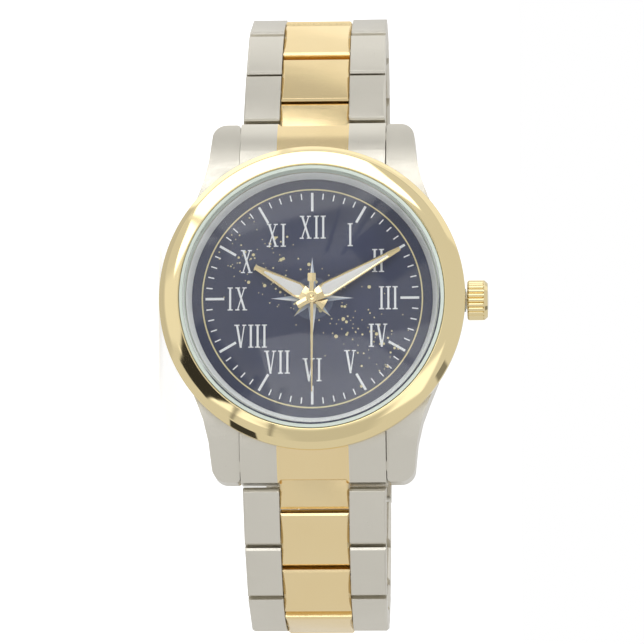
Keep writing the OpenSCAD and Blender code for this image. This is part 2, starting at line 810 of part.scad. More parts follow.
// Part of a ring round the clasp's centre between two angles and two levels, x0 to x1 wide
module clasp_arc(a0, a1, level0, level1, x0, x1) {
    clasp_turn(a0, a1) polygon([
        [clasp_r + level0, x0], [clasp_r + level1, x0], [clasp_r + level1, x1], [clasp_r + level0, x1]
    ]);
}

module clasp_inner_blade() {
    half = centre_half(chain_len) - 0.05;
    neck_half = half - 0.15;
    heel = long_heel - link_gap / 2;
    neck_end = cover_hinge_a - 3 * deg_per_mm;
    color("silver") difference() {
        union() {
            on_clasp(angle_a, 0) link(heel, blade_nose, [-half, half], [-half, half]);
            difference() {
                clasp_arc(fold_a, angle_a, inner_level, inner_level + blade_t, -blade_half, blade_half);
                for (x0 = [-blade_half - 1, neck_half])
                    clasp_arc(neck_end, angle_a + 2, -half_t - 2, 0, x0, x0 + blade_half + 1 - neck_half);
            }
            on_clasp(fold_a, fold_level) cross_pin([0, 0], fold_knuckle_r, 2 * fold_half);
        }
        on_clasp(angle_a, 0) cross_pin([0, 0], link_pin_r + play, big);
        on_clasp(fold_a, fold_level) {
            cross_pin([0, 0], clasp_pin_r + play, big);
            for (s = [-1, 1]) translate([s * (fold_half + fold_gap + cutter_w / 2), 0, 0])
                cross_pin([0, 0], fold_knuckle_r + 0.2, cutter_w);
        }
    }
}

module clasp_outer_blade() {
    side_w = blade_half - fold_half - fold_gap;
    color("silver") difference() {
        union() {
            clasp_arc(fold_a, cover_hinge_a, outer_level, outer_level + blade_t, -blade_half, blade_half);
            on_clasp(fold_a, fold_level) for (s = [-1, 1])
                translate([s * (fold_half + fold_gap + side_w / 2), 0, 0])
                    cross_pin([0, 0], fold_knuckle_r, side_w);
            on_clasp(cover_hinge_a, cover_hinge_level) cross_pin([0, 0], knuckle_r, 2 * blade_half);
        }
        on_clasp(fold_a, fold_level) {
            cross_pin([0, 0], clasp_pin_r + press, big);
            cross_pin([0, 0], fold_knuckle_r + 0.15, 2 * (fold_half + fold_gap));
        }
        on_clasp(cover_hinge_a, cover_hinge_level) cross_pin([0, 0], clasp_pin_r + play, big);
    }
    color("gray") on_clasp(fold_a, fold_level) cross_pin([0, 0], clasp_pin_r, 2 * blade_half - 0.2);
}

module clasp_cover() {
    half = band_end_w / 2;
    tongue = centre_half(chain_len) - 0.1;
    color("lightgray") difference() {
        union() {
            clasp_turn(cover_end_a - 0.6, cover_hinge_a) polygon([
                [clasp_r - half_t, -half], [clasp_r + cover_level + cover_t, -half],
                [clasp_r + cover_level + cover_t, half], [clasp_r - half_t, half],
                [clasp_r - half_t, half - cheek_t], [clasp_r + cover_level, half - cheek_t],
                [clasp_r + cover_level, cheek_t - half], [clasp_r - half_t, cheek_t - half]
            ]);
            for (s = [-1, 1]) translate([s * (half - cheek_t / 2), 0, 0])
                on_clasp(cover_hinge_a, cover_hinge_level) cross_pin([0, 0], half_t, cheek_t - 0.1);
            clasp_arc(angle_b + tongue_back * deg_per_mm, cover_end_a + tongue_root * deg_per_mm,
                tongue_level, cover_mid, tongue_inset - tongue, tongue - tongue_inset);
        }
        on_clasp(fold_a, fold_level) for (s = [-1, 1]) translate([s * (tongue + cutter_w / 2), 0, 0])
            rotate([0, 90, 0]) difference() {
                cylinder(r = mouth_len + 6, h = cutter_w, center = true);
                cylinder(r = mouth_len, h = cutter_w + 1, center = true, $fn = 256);
                translate([0, -big / 3, 0]) cube([big, 2 * big / 3, cutter_w + 2], center = true);
            }
        on_clasp(angle_b, 0) cross_pin([0, 0], link_pin_r + cut_gap, big);
        on_clasp(cover_hinge_a, cover_hinge_level) cross_pin([0, 0], clasp_pin_r + press, big);
    }
    color("gray") on_clasp(cover_hinge_a, cover_hinge_level) cross_pin([0, 0], clasp_pin_r, 2 * half - 0.3);
}

module draw(name) {
    stand() children();
}

draw("case_middle") case_middle();
draw("bezel") bezel();
draw("crystal") crystal();
draw("gaskets") gaskets();
draw("dial_ring") dial_ring();
draw("dial") dial();
draw("case_back") case_back();
draw("main_plate") main_plate();
draw("train_bridge") train_bridge();
draw("coil") coil();
draw("stator") stator();
draw("battery") battery();
draw("circuit_board") circuit_board();
draw("rotor") rotor();
draw("fifth_wheel") fifth_wheel();
draw("third_wheel") third_wheel();
draw("minute_wheel") minute_wheel();
draw("clutch_wheel") clutch_wheel();
draw("hour_wheel") hour_wheel();
draw("hour_hand") hour_hand();
draw("cannon_pinion") cannon_pinion();
draw("minute_hand") minute_hand();
draw("seconds_wheel") seconds_wheel();
draw("second_hand") second_hand();
draw("crown") crown();
draw("stem") stem();
draw("end_link_12") end_link(12);
draw("end_link_6") end_link(6);
draw("spring_bars") spring_bars();
draw("clasp_cover") clasp_cover();
draw("clasp_outer_blade") clasp_outer_blade();
draw("clasp_inner_blade") clasp_inner_blade();
for (side = SIDES, n = [1:LINKS]) {
    draw(str("centre_link_", side, "_", n)) centre_link(side, n);
    draw(str("side_links_", side, "_", n)) side_links(side, n);
}
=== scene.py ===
"""Looks of a two-tone wristwatch on a link bracelet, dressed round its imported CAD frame.

The watch's own frame, in millimetres, has x to 3 o'clock, y to 12 o'clock and z out of the dial, with z = 0
on the case back. Meshes are made in it and then stood in the row frame, in metres.
"""

from __future__ import annotations

import logging
import math
from dataclasses import dataclass, field
from enum import Enum
from typing import Callable, Iterable, Sequence

import bmesh
import bpy
from mathutils import Matrix, Vector


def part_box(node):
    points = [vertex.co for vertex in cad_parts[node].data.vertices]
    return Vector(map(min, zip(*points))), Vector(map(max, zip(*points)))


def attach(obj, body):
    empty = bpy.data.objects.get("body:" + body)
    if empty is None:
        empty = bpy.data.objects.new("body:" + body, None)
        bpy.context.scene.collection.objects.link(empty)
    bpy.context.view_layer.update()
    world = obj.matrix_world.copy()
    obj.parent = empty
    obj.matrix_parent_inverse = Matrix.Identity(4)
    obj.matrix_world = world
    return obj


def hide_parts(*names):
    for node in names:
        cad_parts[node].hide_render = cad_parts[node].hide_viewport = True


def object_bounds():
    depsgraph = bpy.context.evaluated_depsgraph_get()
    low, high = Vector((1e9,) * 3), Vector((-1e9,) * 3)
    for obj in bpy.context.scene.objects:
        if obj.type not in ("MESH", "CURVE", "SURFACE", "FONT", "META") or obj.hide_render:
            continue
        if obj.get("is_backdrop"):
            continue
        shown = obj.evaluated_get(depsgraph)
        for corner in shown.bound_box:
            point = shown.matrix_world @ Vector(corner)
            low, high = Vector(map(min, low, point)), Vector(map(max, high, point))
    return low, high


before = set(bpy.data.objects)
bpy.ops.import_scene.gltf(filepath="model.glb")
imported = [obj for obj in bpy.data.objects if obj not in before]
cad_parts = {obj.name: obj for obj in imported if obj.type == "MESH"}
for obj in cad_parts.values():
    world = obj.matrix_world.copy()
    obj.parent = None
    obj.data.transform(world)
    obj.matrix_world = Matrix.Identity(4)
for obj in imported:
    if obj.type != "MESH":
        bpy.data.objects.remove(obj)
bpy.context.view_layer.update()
LOG = logging.getLogger("watch")

MM = 0.001
STAND = Matrix(((0, -MM, 0, 0), (0, 0, -MM, 0), (MM, 0, 0, 0), (0, 0, 0, 1)))
LINKS = 7
SIDES = (12, 6)

# Merging distances in metres, sharp angles in degrees, and the part of an edge that a rounded corner may take
SAME_POINT = 2e-8
SAME_CORNER = 2e-7
FLAT_DEG = 0.6
SHARP_DEG = 32.0
BENCH_SHARP_DEG = 28.0
HAND_SHARP_DEG = 12.0
ROUND_SHARP_DEG = 40.0
CURVE_SHARE = 0.45

Point = tuple[float, float]
Colour = tuple[float, float, float]
Mesh = bpy.types.Mesh
Material = bpy.types.Material
Node = bpy.types.Node
Socket = bpy.types.NodeSocket
Tree = bpy.types.NodeTree


class Grain(Enum):
    """Direction in which a metal has been polished."""

    MIRROR = "polished, no lines"
    ALONG = "lines along the band"
    ROUND = "lines round the watch's axis"


# Small tools


class Desk:
    """Adds and links the nodes of one tree."""

    def __init__(self, tree: Tree) -> None:
        """Keeps the tree.

        Args:
            tree: The shader or geometry tree to work on.
        """
        self.tree = tree

    def add(self, kind: str, sockets: dict | None = None, **settings: object) -> Node:
        """Adds a node.

        Args:
            kind: The node's type name.
            sockets: Values or output sockets by input name or number.
            settings: Attributes of the node itself.

        Returns:
            The new node.
        """
        node = self.tree.nodes.new(kind)
        for name, value in settings.items():
            setattr(node, name, value)
        self.fill(node, sockets or {})
        return node

    def fill(self, node: Node, sockets: dict) -> None:
        """Sets or links a node's inputs.

        Args:
            node: The node.
            sockets: Values or output sockets by input name or number.
        """
        for key, value in sockets.items():
            if isinstance(value, Socket):
                self.tree.links.new(value, node.inputs[key])
            else:
                node.inputs[key].default_value = value

    def shared(self, tree: Tree, **sockets: object) -> bpy.types.bpy_prop_collection:
        """Places a shared group.

        Args:
            tree: The group.
            sockets: Values or output sockets by input name.

        Returns:
            The group's outputs.
        """
        return self.add("ShaderNodeGroup", sockets, node_tree=tree).outputs

    def math(self, operation: str, *values: object) -> Socket:
        """Adds a Math node and returns its output.

        Args:
            operation: The sum to do.
            values: Numbers or sockets, in order.

        Returns:
            The result's socket.
        """
        return self.add("ShaderNodeMath", dict(enumerate(values)), operation=operation).outputs[0]

    def ramp(self, value: object, low: object, high: object, first: float = 0.0, last: float = 1.0,
             kind: str = "LINEAR") -> Socket:
        """Maps one range of a value onto another and stays inside it.

        Args:
            value: Number or socket.
            low: Start of its range.
            high: End of its range.
            first: Result at the start.
            last: Result at the end.
            kind: Interpolation between them.

        Returns:
            The result's socket.
        """
        sockets = {0: value, 1: low, 2: high, 3: first, 4: last}
        return self.add("ShaderNodeMapRange", sockets, interpolation_type=kind).outputs[0]

    def vector(self, x: object = 0.0, y: object = 0.0, z: object = 0.0) -> Socket:
        """Joins three numbers or sockets into a vector."""
        return self.add("ShaderNodeCombineXYZ", {0: x, 1: y, 2: z}).outputs[0]

    def noise(self, vector: Socket, scale: object, **settings: float) -> Socket:
        """Adds a noise and returns its level.

        Args:
            vector: The coordinate.
            scale: Number or socket.
            settings: Further inputs by name.

        Returns:
            The level's socket.
        """
        return self.add("ShaderNodeTexNoise", {"Vector": vector, "Scale": scale, **settings}).outputs[0]

    def bump(self, strength: float, depth: float, height: Socket) -> Socket:
        """Adds a bump and returns its normal.

        Args:
            strength: Strength of the bump.
            depth: Its depth in metres.
            height: The height's socket.

        Returns:
            The normal's socket.
        """
        sockets = {"Strength": strength, "Distance": depth, "Height": height}
        return self.add("ShaderNodeBump", sockets).outputs[0]

    def mix(self, factor: object, first: object, second: object, blend: str = "MIX") -> Socket:
        """Mixes two colours and returns the result.

        Args:
            factor: Share of the second colour.
            first: Colour or socket at factor 0.
            second: Colour or socket at factor 1.
            blend: How they are mixed.

        Returns:
            The mixed colour's socket.
        """
        node = self.add("ShaderNodeMix", {0: factor}, data_type="RGBA", blend_type=blend)
        for number, value in ((6, first), (7, second)):
            self.fill(node, {number: value if isinstance(value, Socket) else solid(value)})
        return node.outputs[2]


def solid(colour: Sequence[float]) -> tuple[float, ...]:
    """A colour with full alpha."""
    return (*colour, 1)


def group(name: str, inputs: dict[str, tuple[str, object]], outputs: dict[str, str],
          build: Callable[[Desk, Node], dict[str, Socket]], kind: str = "ShaderNodeTree") -> Tree:
    """Makes a node group with named inputs and outputs.

    Args:
        name: The group's name.
        inputs: Type, such as Float, and default of each input by name.
        outputs: Type of each output by name.
        build: Fills the tree and returns the socket of each output.
        kind: Kind of tree.

    Returns:
        The finished tree.
    """
    tree = bpy.data.node_groups.new(name, kind)
    for label, (socket_type, default) in inputs.items():
        socket = tree.interface.new_socket(label, in_out="INPUT", socket_type="NodeSocket" + socket_type)
        if default is not None:
            socket.default_value = default
    for label, socket_type in outputs.items():
        tree.interface.new_socket(label, in_out="OUTPUT", socket_type="NodeSocket" + socket_type)
    desk = Desk(tree)
    made = build(desk, desk.add("NodeGroupInput"))
    end = desk.add("NodeGroupOutput")
    for label, socket in made.items():
        tree.links.new(socket, end.inputs[label])
    return tree


# Shared shader groups


def brushing_group() -> Tree:
    """Fine polishing lines: a height and a streak mask from a coordinate that is stretched along the lines.

    Returns:
        The group.
    """
    def build(desk: Desk, start: Node) -> dict[str, Socket]:
        """Fills the tree.

        Args:
            desk: The tree's desk.
            start: The node of its inputs.

        Returns:
            The socket of each output by name.
        """
        stretched = desk.add("ShaderNodeVectorMath", {0: start.outputs["Vector"], 1: start.outputs["Scale"]},
                             operation="MULTIPLY").outputs[0]
        fine = desk.noise(stretched, 1.0, Detail=3.0, Roughness=0.6)
        wide = desk.noise(stretched, 0.23, Detail=2.0)
        streak = desk.math("MULTIPLY_ADD", wide, 0.5, desk.math("MULTIPLY", fine, 0.5))
        return {"Height": fine, "Streak": streak}

    return group("brushing", {"Vector": ("Vector", None), "Scale": ("Vector", (1, 1, 1))},
                 {"Height": "Float", "Streak": "Float"}, build)


def handling_group() -> Tree:
    """Marks of use: soft smudges and a few hair lines.

    Returns:
        The group.
    """
    def build(desk: Desk, start: Node) -> dict[str, Socket]:
        """Fills the tree.

        Args:
            desk: The tree's desk.
            start: The node of its inputs.

        Returns:
            The socket of each output by name.
        """
        soft = desk.ramp(desk.noise(start.outputs["Vector"], 180.0, Detail=3.0, Distortion=0.6), 0.42, 0.7)
        cells = desk.add("ShaderNodeTexVoronoi", {"Vector": start.outputs["Vector"], "Scale": 260.0},
                         feature="DISTANCE_TO_EDGE")
        hair = desk.ramp(cells.outputs["Distance"], 0.0, 0.012, 1.0, 0.0)
        return {"Smudge": soft, "Hair": desk.math("MULTIPLY", hair, soft)}

    return group("handling marks", {"Vector": ("Vector", None)}, {"Smudge": "Float", "Hair": "Float"}, build)


def drift_group() -> Tree:
    """Slow change of tone over a surface.

    Returns:
        The group.
    """
    def build(desk: Desk, start: Node) -> dict[str, Socket]:
        """Fills the tree.

        Args:
            desk: The tree's desk.
            start: The node of its inputs.

        Returns:
            The socket of each output by name.
        """
        cloud = desk.noise(start.outputs["Vector"], start.outputs["Scale"], Detail=2.0)
        share = desk.math("MULTIPLY", desk.ramp(cloud, 0.3, 0.7), start.outputs["Amount"])
        return {"Colour": desk.mix(share, start.outputs["Colour"], start.outputs["Other"])}

    return group("tone drift", {
        "Vector": ("Vector", None), "Colour": ("Color", (1, 1, 1, 1)), "Other": ("Color", (0, 0, 0, 1)),
        "Scale": ("Float", 60.0), "Amount": ("Float", 0.5),
    }, {"Colour": "Color"}, build)


def axis_radius_group() -> Tree:
    """Distance from the watch's axis, as a coordinate for lines turned round it.

    Returns:
        The group.
    """
    def build(desk: Desk, start: Node) -> dict[str, Socket]:
        """Fills the tree.

        Args:
            desk: The tree's desk.
            start: The node of its inputs.

        Returns:
            The socket of each output by name.
        """
        x, y, z = desk.add("ShaderNodeSeparateXYZ", {0: start.outputs["Vector"]}).outputs
        radius = desk.math("SQRT", desk.math("ADD", desk.math("POWER", x, 2.0), desk.math("POWER", z, 2.0)))
        return {"Vector": desk.vector(radius, y), "Radius": radius}

    return group("turned lines", {"Vector": ("Vector", None)}, {"Vector": "Vector", "Radius": "Float"}, build)


class Groups:
    """The shader groups that the finishes share, each built once."""

    brushing = brushing_group()
    handling = handling_group()
    drift = drift_group()
    turned = axis_radius_group()


# Finishes

LINES_ALONG = (1500.0, 1500.0, 30000.0)
LINES_ROUND = (26000.0, 900.0, 0.0)
LINE_ROUGHNESS = 0.22
LINE_BUMP = 0.35
LINE_DEPTH = 0.00005
METAL_TONES = 90.0
DIAL_TONES = 240.0
DIAL_DUST = 16000.0


def blank_material(name: str) -> tuple[Material, Desk, Node, Socket]:
    """Makes a material with one Principled shader.

    Args:
        name: The material's name.

    Returns:
        The material, its desk, its shader and the object coordinate.
    """
    material = bpy.data.materials.new(name)
    material.use_nodes = True
    desk = Desk(material.node_tree)
    shader = material.node_tree.nodes["Principled BSDF"]
    place = desk.add("ShaderNodeTexCoord").outputs["Object"]
    return material, desk, shader, place


@dataclass(frozen=True)
class Metal:
    """A metal finish.

    Attributes:
        name: Name of the material.
        colour: Its plain colour.
        deep: The colour that it drifts to.
        roughness: Roughness between the lines.
        grain: Direction of the polish.
        lines: How deep the lines look, from 0 to 1.
        wear: How far smudges roughen it.
    """

    name: str
    colour: Colour
    deep: Colour
    roughness: float
    grain: Grain = Grain.MIRROR
    lines: float = 0.0
    wear: float = 0.05

    def build(self) -> Material:
        """Builds the material.

        Returns:
            The material.
        """
        material, desk, shader, place = blank_material(self.name)
        marks = desk.shared(Groups.handling, Vector=place)
        tone = desk.shared(Groups.drift, Vector=place, Colour=solid(self.colour), Other=solid(self.deep),
                           Scale=METAL_TONES)
        rough = desk.math("MULTIPLY_ADD", marks["Smudge"], self.wear, self.roughness)
        rough = desk.math("MULTIPLY_ADD", marks["Hair"], self.wear, rough)
        if self.grain is not Grain.MIRROR:
            where, stretch = place, LINES_ALONG
            if self.grain is Grain.ROUND:
                where, stretch = desk.shared(Groups.turned, Vector=place)["Vector"], LINES_ROUND
            lines = desk.shared(Groups.brushing, Vector=where, Scale=stretch)
            rough = desk.math("MULTIPLY_ADD", lines["Streak"], LINE_ROUGHNESS * self.lines, rough)
            desk.fill(shader, {"Normal": desk.bump(LINE_BUMP * self.lines, LINE_DEPTH, lines["Height"])})
        desk.fill(shader, {"Metallic": 1.0, "Base Color": tone["Colour"], "Roughness": rough})
        return material


@dataclass(frozen=True)
class Lacquer:
    """A satin dial lacquer, a little paler towards its rim, with a faint mottle.

    Attributes:
        name: Name of the material.
        middle: Colour at the dial's centre.
        rim: Colour at its rim.
        radius: Radius in metres at which the rim's colour is reached.
        start: Share of that radius at which the middle's colour begins to turn.
        mottle: Brightness of the mottle, as a share of the middle's colour.
    """

    name: str
    middle: Colour
    rim: Colour
    radius: float
    start: float = 0.45
    mottle: float = 1.22

    def build(self) -> Material:
        """Builds the material.

        Returns:
            The material.
        """
        material, desk, shader, place = blank_material(self.name)
        reach = desk.shared(Groups.turned, Vector=place)["Radius"]
        base = desk.mix(desk.ramp(reach, self.start * self.radius, self.radius), self.middle, self.rim)
        tone = desk.shared(Groups.drift, Vector=place, Colour=base,
                           Other=solid([self.mottle * c for c in self.middle]), Scale=DIAL_TONES, Amount=0.55)
        dust = desk.noise(place, DIAL_DUST, Detail=1.0)
        fine = desk.ramp(dust, 0.3, 0.7, 0.985, 1.015)
        desk.fill(shader, {
            "Base Color": desk.mix(1.0, tone["Colour"], fine, "MULTIPLY"),
            "Roughness": desk.math("MULTIPLY_ADD", dust, 0.08, 0.42),
            "Specular IOR Level": 0.2,
            "Normal": desk.bump(0.04, 0.000005, dust)})
        return material


@dataclass(frozen=True)
class Matter:
    """Any plain opaque stuff with a fine texture: print, paint, lume, plastic, rubber.

    Attributes:
        name: Name of the material.
        colour: Its colour.
        other: The colour that it drifts to.
        roughness: Its roughness.
        texture: Size of its fine texture, as a noise scale.
        relief: Strength of the texture's bump.
        coat: Weight of a clear coat.
    """

    name: str
    colour: Colour
    other: Colour
    roughness: float = 0.5
    texture: float = 6000.0
    relief: float = 0.1
    coat: float = 0.0

    def build(self) -> Material:
        """Builds the material.

        Returns:
            The material.
        """
        material, desk, shader, place = blank_material(self.name)
        tone = desk.shared(Groups.drift, Vector=place, Colour=solid(self.colour), Other=solid(self.other),
                           Scale=self.texture / 12)
        grit = desk.noise(place, self.texture, Detail=2.0)
        desk.fill(shader, {
            "Base Color": tone["Colour"],
            "Roughness": desk.math("MULTIPLY_ADD", grit, 0.12, self.roughness - 0.06),
            "Coat Weight": self.coat,
            "Normal": desk.bump(self.relief, 0.00002, grit)})
        return material


@dataclass(frozen=True)
class Crystal:
    """Clear mineral glass with a green cast and faint smears.

    Attributes:
        name: Name of the material.
        tint: Colour of the glass.
        index: Its index of refraction.
    """

    name: str
    tint: Colour
    index: float = 1.45

    def build(self) -> Material:
        """Builds the material.

        Returns:
            The material.
        """
        material, desk, shader, place = blank_material(self.name)
        smudge = desk.shared(Groups.handling, Vector=place)["Smudge"]
        desk.fill(shader, {
            "Roughness": desk.math("MULTIPLY", smudge, 0.012), "Base Color": solid(self.tint),
            "Transmission Weight": 1.0, "IOR": self.index})
        return material


# Making pieces


def span(node: str) -> tuple[Vector, Vector]:
    """Lowest and highest corner of a CAD node in the watch's own frame, in millimetres.

    Args:
        node: The node's name.

    Returns:
        Both corners.
    """
    low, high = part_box(node)
    return Vector((low.z, -high.x, -high.y)) / MM, Vector((high.z, -low.x, -low.y)) / MM


def finish_mesh(mesh: Mesh, sharp_deg: float = SHARP_DEG) -> None:
    """Turns a mesh's faces outwards and smooths it up to an angle.

    Args:
        mesh: The mesh.
        sharp_deg: Edges that turn by more than this stay sharp.
    """
    work = bmesh.new()
    work.from_mesh(mesh)
    bmesh.ops.remove_doubles(work, verts=work.verts, dist=SAME_POINT)
    bmesh.ops.recalc_face_normals(work, faces=work.faces)
    work.to_mesh(mesh)
    work.free()
    mesh.shade_smooth()
    mesh.set_sharp_from_angle(angle=math.radians(sharp_deg))


def add_piece(name: str, mesh: Mesh, material: Material | None, body: str, slot: str,
              *replaced: str) -> bpy.types.Object:
    """Links a finished mesh as a piece that rides on a body.

    Args:
        name: The piece's name.
        mesh: Its mesh, in the row frame.
        material: Its finish, or None where the mesh has its own.
        body: The body that carries it.
        slot: The record's material slot; not used.
        replaced: CAD nodes that it stands for.

    Returns:
        The piece.
    """
    if material is not None:
        mesh.materials.clear()
        mesh.materials.append(material)
    piece = bpy.data.objects.new(name, mesh)
    bpy.context.scene.collection.objects.link(piece)
    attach(piece, body)
    if replaced:
        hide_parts(*replaced)
    LOG.info("%s: %d faces on %s", name, len(mesh.polygons), body)
    return piece


def mesh_from(name: str, points: Iterable[Sequence[float]], faces: Iterable[Sequence[int]],
              sharp_deg: float = SHARP_DEG) -> Mesh:
    """Makes a mesh from points in the watch's frame.

    Args:
        name: The mesh's name.
        points: Corners in millimetres.
        faces: Corner numbers of each face.
        sharp_deg: Edges that turn by more than this stay sharp.

    Returns:
        The mesh, stood in the row frame.
    """
    mesh = bpy.data.meshes.new(name)
    mesh.from_pydata([Vector(p) for p in points], [], [tuple(f) for f in faces])
    mesh.transform(STAND)
    finish_mesh(mesh, sharp_deg)
    return mesh


def rounded(profile: Sequence[Point], radius: float, steps: int = 4) -> list[Point]:
    """Rounds the corners of a closed profile with short curves.

    Args:
        profile: Its corners.
        radius: How far from a corner its curve starts, at most.
        steps: Pieces in each curve.

    Returns:
        The rounded profile's points.
    """
    out: list[Point] = []
    count = len(profile)
    for i, corner in enumerate(profile):
        here = Vector(corner)
        before, after = Vector(profile[i - 1]) - here, Vector(profile[(i + 1) % count]) - here
        if here.x == 0:
            out.append(corner)
            continue
        start = here + before.normalized() * min(radius, CURVE_SHARE * before.length)
        end = here + after.normalized() * min(radius, CURVE_SHARE * after.length)
        for k in range(steps + 1):
            t = k / steps
            out.append(tuple((1 - t) ** 2 * start + 2 * t * (1 - t) * here + t * t * end))
    return out


def turned(name: str, profile: Sequence[Point], segments: int = 256) -> Mesh:
    """Turns a closed profile of radius and height round the watch's axis.

    Args:
        name: The mesh's name.
        profile: Radius and height of each corner, in millimetres.
        segments: Steps round the axis.

    Returns:
        The mesh, stood in the row frame.
    """
    count = len(profile)
    points, faces = [], []
    for i in range(segments):
        a = 2 * math.pi * i / segments
        points += [(r * math.sin(a), r * math.cos(a), z) for r, z in profile]
        j = (i + 1) % segments
        for k in range(count):
            n = (k + 1) % count
            if profile[k][0] == 0 and profile[n][0] == 0:
                continue
            faces.append((i * count + k, i * count + n, j * count + n, j * count + k))
    return mesh_from(name, points, faces)


def lofted(name: str, rings: Sequence[Sequence[Sequence[float]]], turn: float, sharp_deg: float) -> Mesh:
    """Lofts a closed skin through rings of points and turns it to a clock angle.

    Args:
        name: The mesh's name.
        rings: Points of each cross-section, the same number in each.
        turn: Clock angle at which it points.
        sharp_deg: Edges that turn by more than this stay sharp.

    Returns:
        The mesh, stood in the row frame.
    """
    c, d = math.cos(math.radians(turn)), math.sin(math.radians(turn))
    points = [(x * c + y * d, y * c - x * d, z) for ring in rings for x, y, z in ring]
    count = len(rings[0])
    last = (len(rings) - 1) * count
    faces: list[Sequence[int]] = []
    for i in range(0, last, count):
        for k in range(count):
            n = (k + 1) % count
            faces.append((i + k, i + n, i + count + n, i + count + k))
    faces += [range(count), range(last + count - 1, last - 1, -1)]
    return mesh_from(name, points, faces, sharp_deg)


def bench_copy(node: str, edge: float, steps: int = 2) -> Mesh:
    """Copies a CAD node's mesh and breaks its sharp edges as a polisher does.

    Args:
        node: The node's name.
        edge: Width of the broken edges, in millimetres.
        steps: Faces across a broken edge.

    Returns:
        The copy's mesh, in the row frame.
    """
    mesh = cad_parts[node].data.copy()
    mesh.name = node + "_worked"
    mesh.materials.clear()
    work = bmesh.new()
    work.from_mesh(mesh)
    bmesh.ops.remove_doubles(work, verts=work.verts, dist=SAME_CORNER)
    bmesh.ops.dissolve_limit(work, angle_limit=math.radians(FLAT_DEG), verts=work.verts, edges=work.edges)
    work.to_mesh(mesh)
    work.free()
    mesh.shade_smooth()
    mesh.set_sharp_from_angle(angle=math.radians(BENCH_SHARP_DEG))
    holder = bpy.data.objects.new("holder", mesh)
    bpy.context.scene.collection.objects.link(holder)
    bevel = holder.modifiers.new("edges", "BEVEL")
    bevel.limit_method = "ANGLE"
    bevel.angle_limit = math.radians(BENCH_SHARP_DEG)
    bevel.width = edge * MM
    bevel.segments = steps
    bevel.harden_normals = True
    return baked(holder)


def baked(holder: bpy.types.Object) -> Mesh:
    """Turns an object with modifiers into a plain mesh and removes the object.

    Args:
        holder: The object.

    Returns:
        The evaluated mesh.
    """
    bpy.context.view_layer.update()
    mesh = bpy.data.meshes.new_from_object(holder.evaluated_get(bpy.context.evaluated_depsgraph_get()))
    bpy.data.objects.remove(holder)
    return mesh


def grown(name: str, tree: Tree, values: dict[str, object], stood: bool = True) -> Mesh:
    """Runs a geometry tree once and returns its result as a plain mesh.

    Args:
        name: The mesh's name.
        tree: The tree.
        values: Its inputs by name.
        stood: Whether the result is in the watch's frame and still has to be stood.

    Returns:
        The mesh, in the row frame.
    """
    holder = bpy.data.objects.new(name, bpy.data.meshes.new(name))
    bpy.context.scene.collection.objects.link(holder)
    modifier = holder.modifiers.new("grow", "NODES")
    modifier.node_group = tree
    sockets = {item.name: item.identifier for item in tree.interface.items_tree if item.in_out == "INPUT"}
    for label, value in values.items():
        modifier[sockets[label]] = value
    mesh = baked(holder)
    mesh.name = name
    if stood:
        mesh.transform(STAND)
    finish_mesh(mesh)
    return mesh


# Geometry trees


def realised(desk: Desk, shape: Socket, finish: Socket) -> dict[str, Socket]:
    """Ends a geometry tree with real faces and their material.

    Args:
        desk: The tree's desk.
        shape: The geometry.
        finish: The material.

    Returns:
        The tree's output by name.
    """
    real = desk.add("GeometryNodeRealizeInstances", {0: shape})
    done = desk.add("GeometryNodeSetMaterial", {0: real.outputs[0], "Material": finish})
    return {"Geometry": done.outputs[0]}


def marks_tree() -> Tree:
    """Printed bars set round a circle, with every so many left out.

    Returns:
        The tree.
    """
    def build(desk: Desk, start: Node) -> dict[str, Socket]:
        """Fills the tree.

        Args:
            desk: The tree's desk.
            start: The node of its inputs.

        Returns:
            The socket of each output by name.
        """
        get = start.outputs
        number = desk.add("GeometryNodeInputIndex").outputs[0]
        angle = desk.math("MULTIPLY", desk.math("DIVIDE", number, get["Count"]), math.tau)
        where = desk.vector(desk.math("MULTIPLY", desk.math("SINE", angle), get["Radius"]),
                            desk.math("MULTIPLY", desk.math("COSINE", angle), get["Radius"]),
                            desk.math("MULTIPLY_ADD", get["Height"], 0.5, get["Level"]))
        points = desk.add("GeometryNodePoints", {"Count": get["Count"], "Position": where})
        size = desk.vector(get["Width"], get["Length"], get["Height"])
        bar = desk.add("GeometryNodeMeshCube", {"Size": size})
        turn = desk.vector(z=desk.math("MULTIPLY", angle, -1.0))
        turn_number = desk.math("ADD", number, get["First"])
        kept = desk.math("GREATER_THAN", desk.math("MODULO", turn_number, get["Leave out"]), 0.5)
        bars = desk.add("GeometryNodeInstanceOnPoints", {
            "Points": points.outputs[0], "Selection": kept, "Instance": bar.outputs[0], "Rotation": turn})
        return realised(desk, bars.outputs[0], get["Ink"])

    return group("printed marks", {
        "Count": ("Int", 60), "Leave out": ("Float", 5.0), "First": ("Float", 0.0),
        "Radius": ("Float", 14.0), "Length": ("Float", 0.8), "Width": ("Float", 0.17),
        "Height": ("Float", 0.02), "Level": ("Float", 7.2), "Ink": ("Material", None),
    }, {"Geometry": "Geometry"}, build, "GeometryNodeTree")


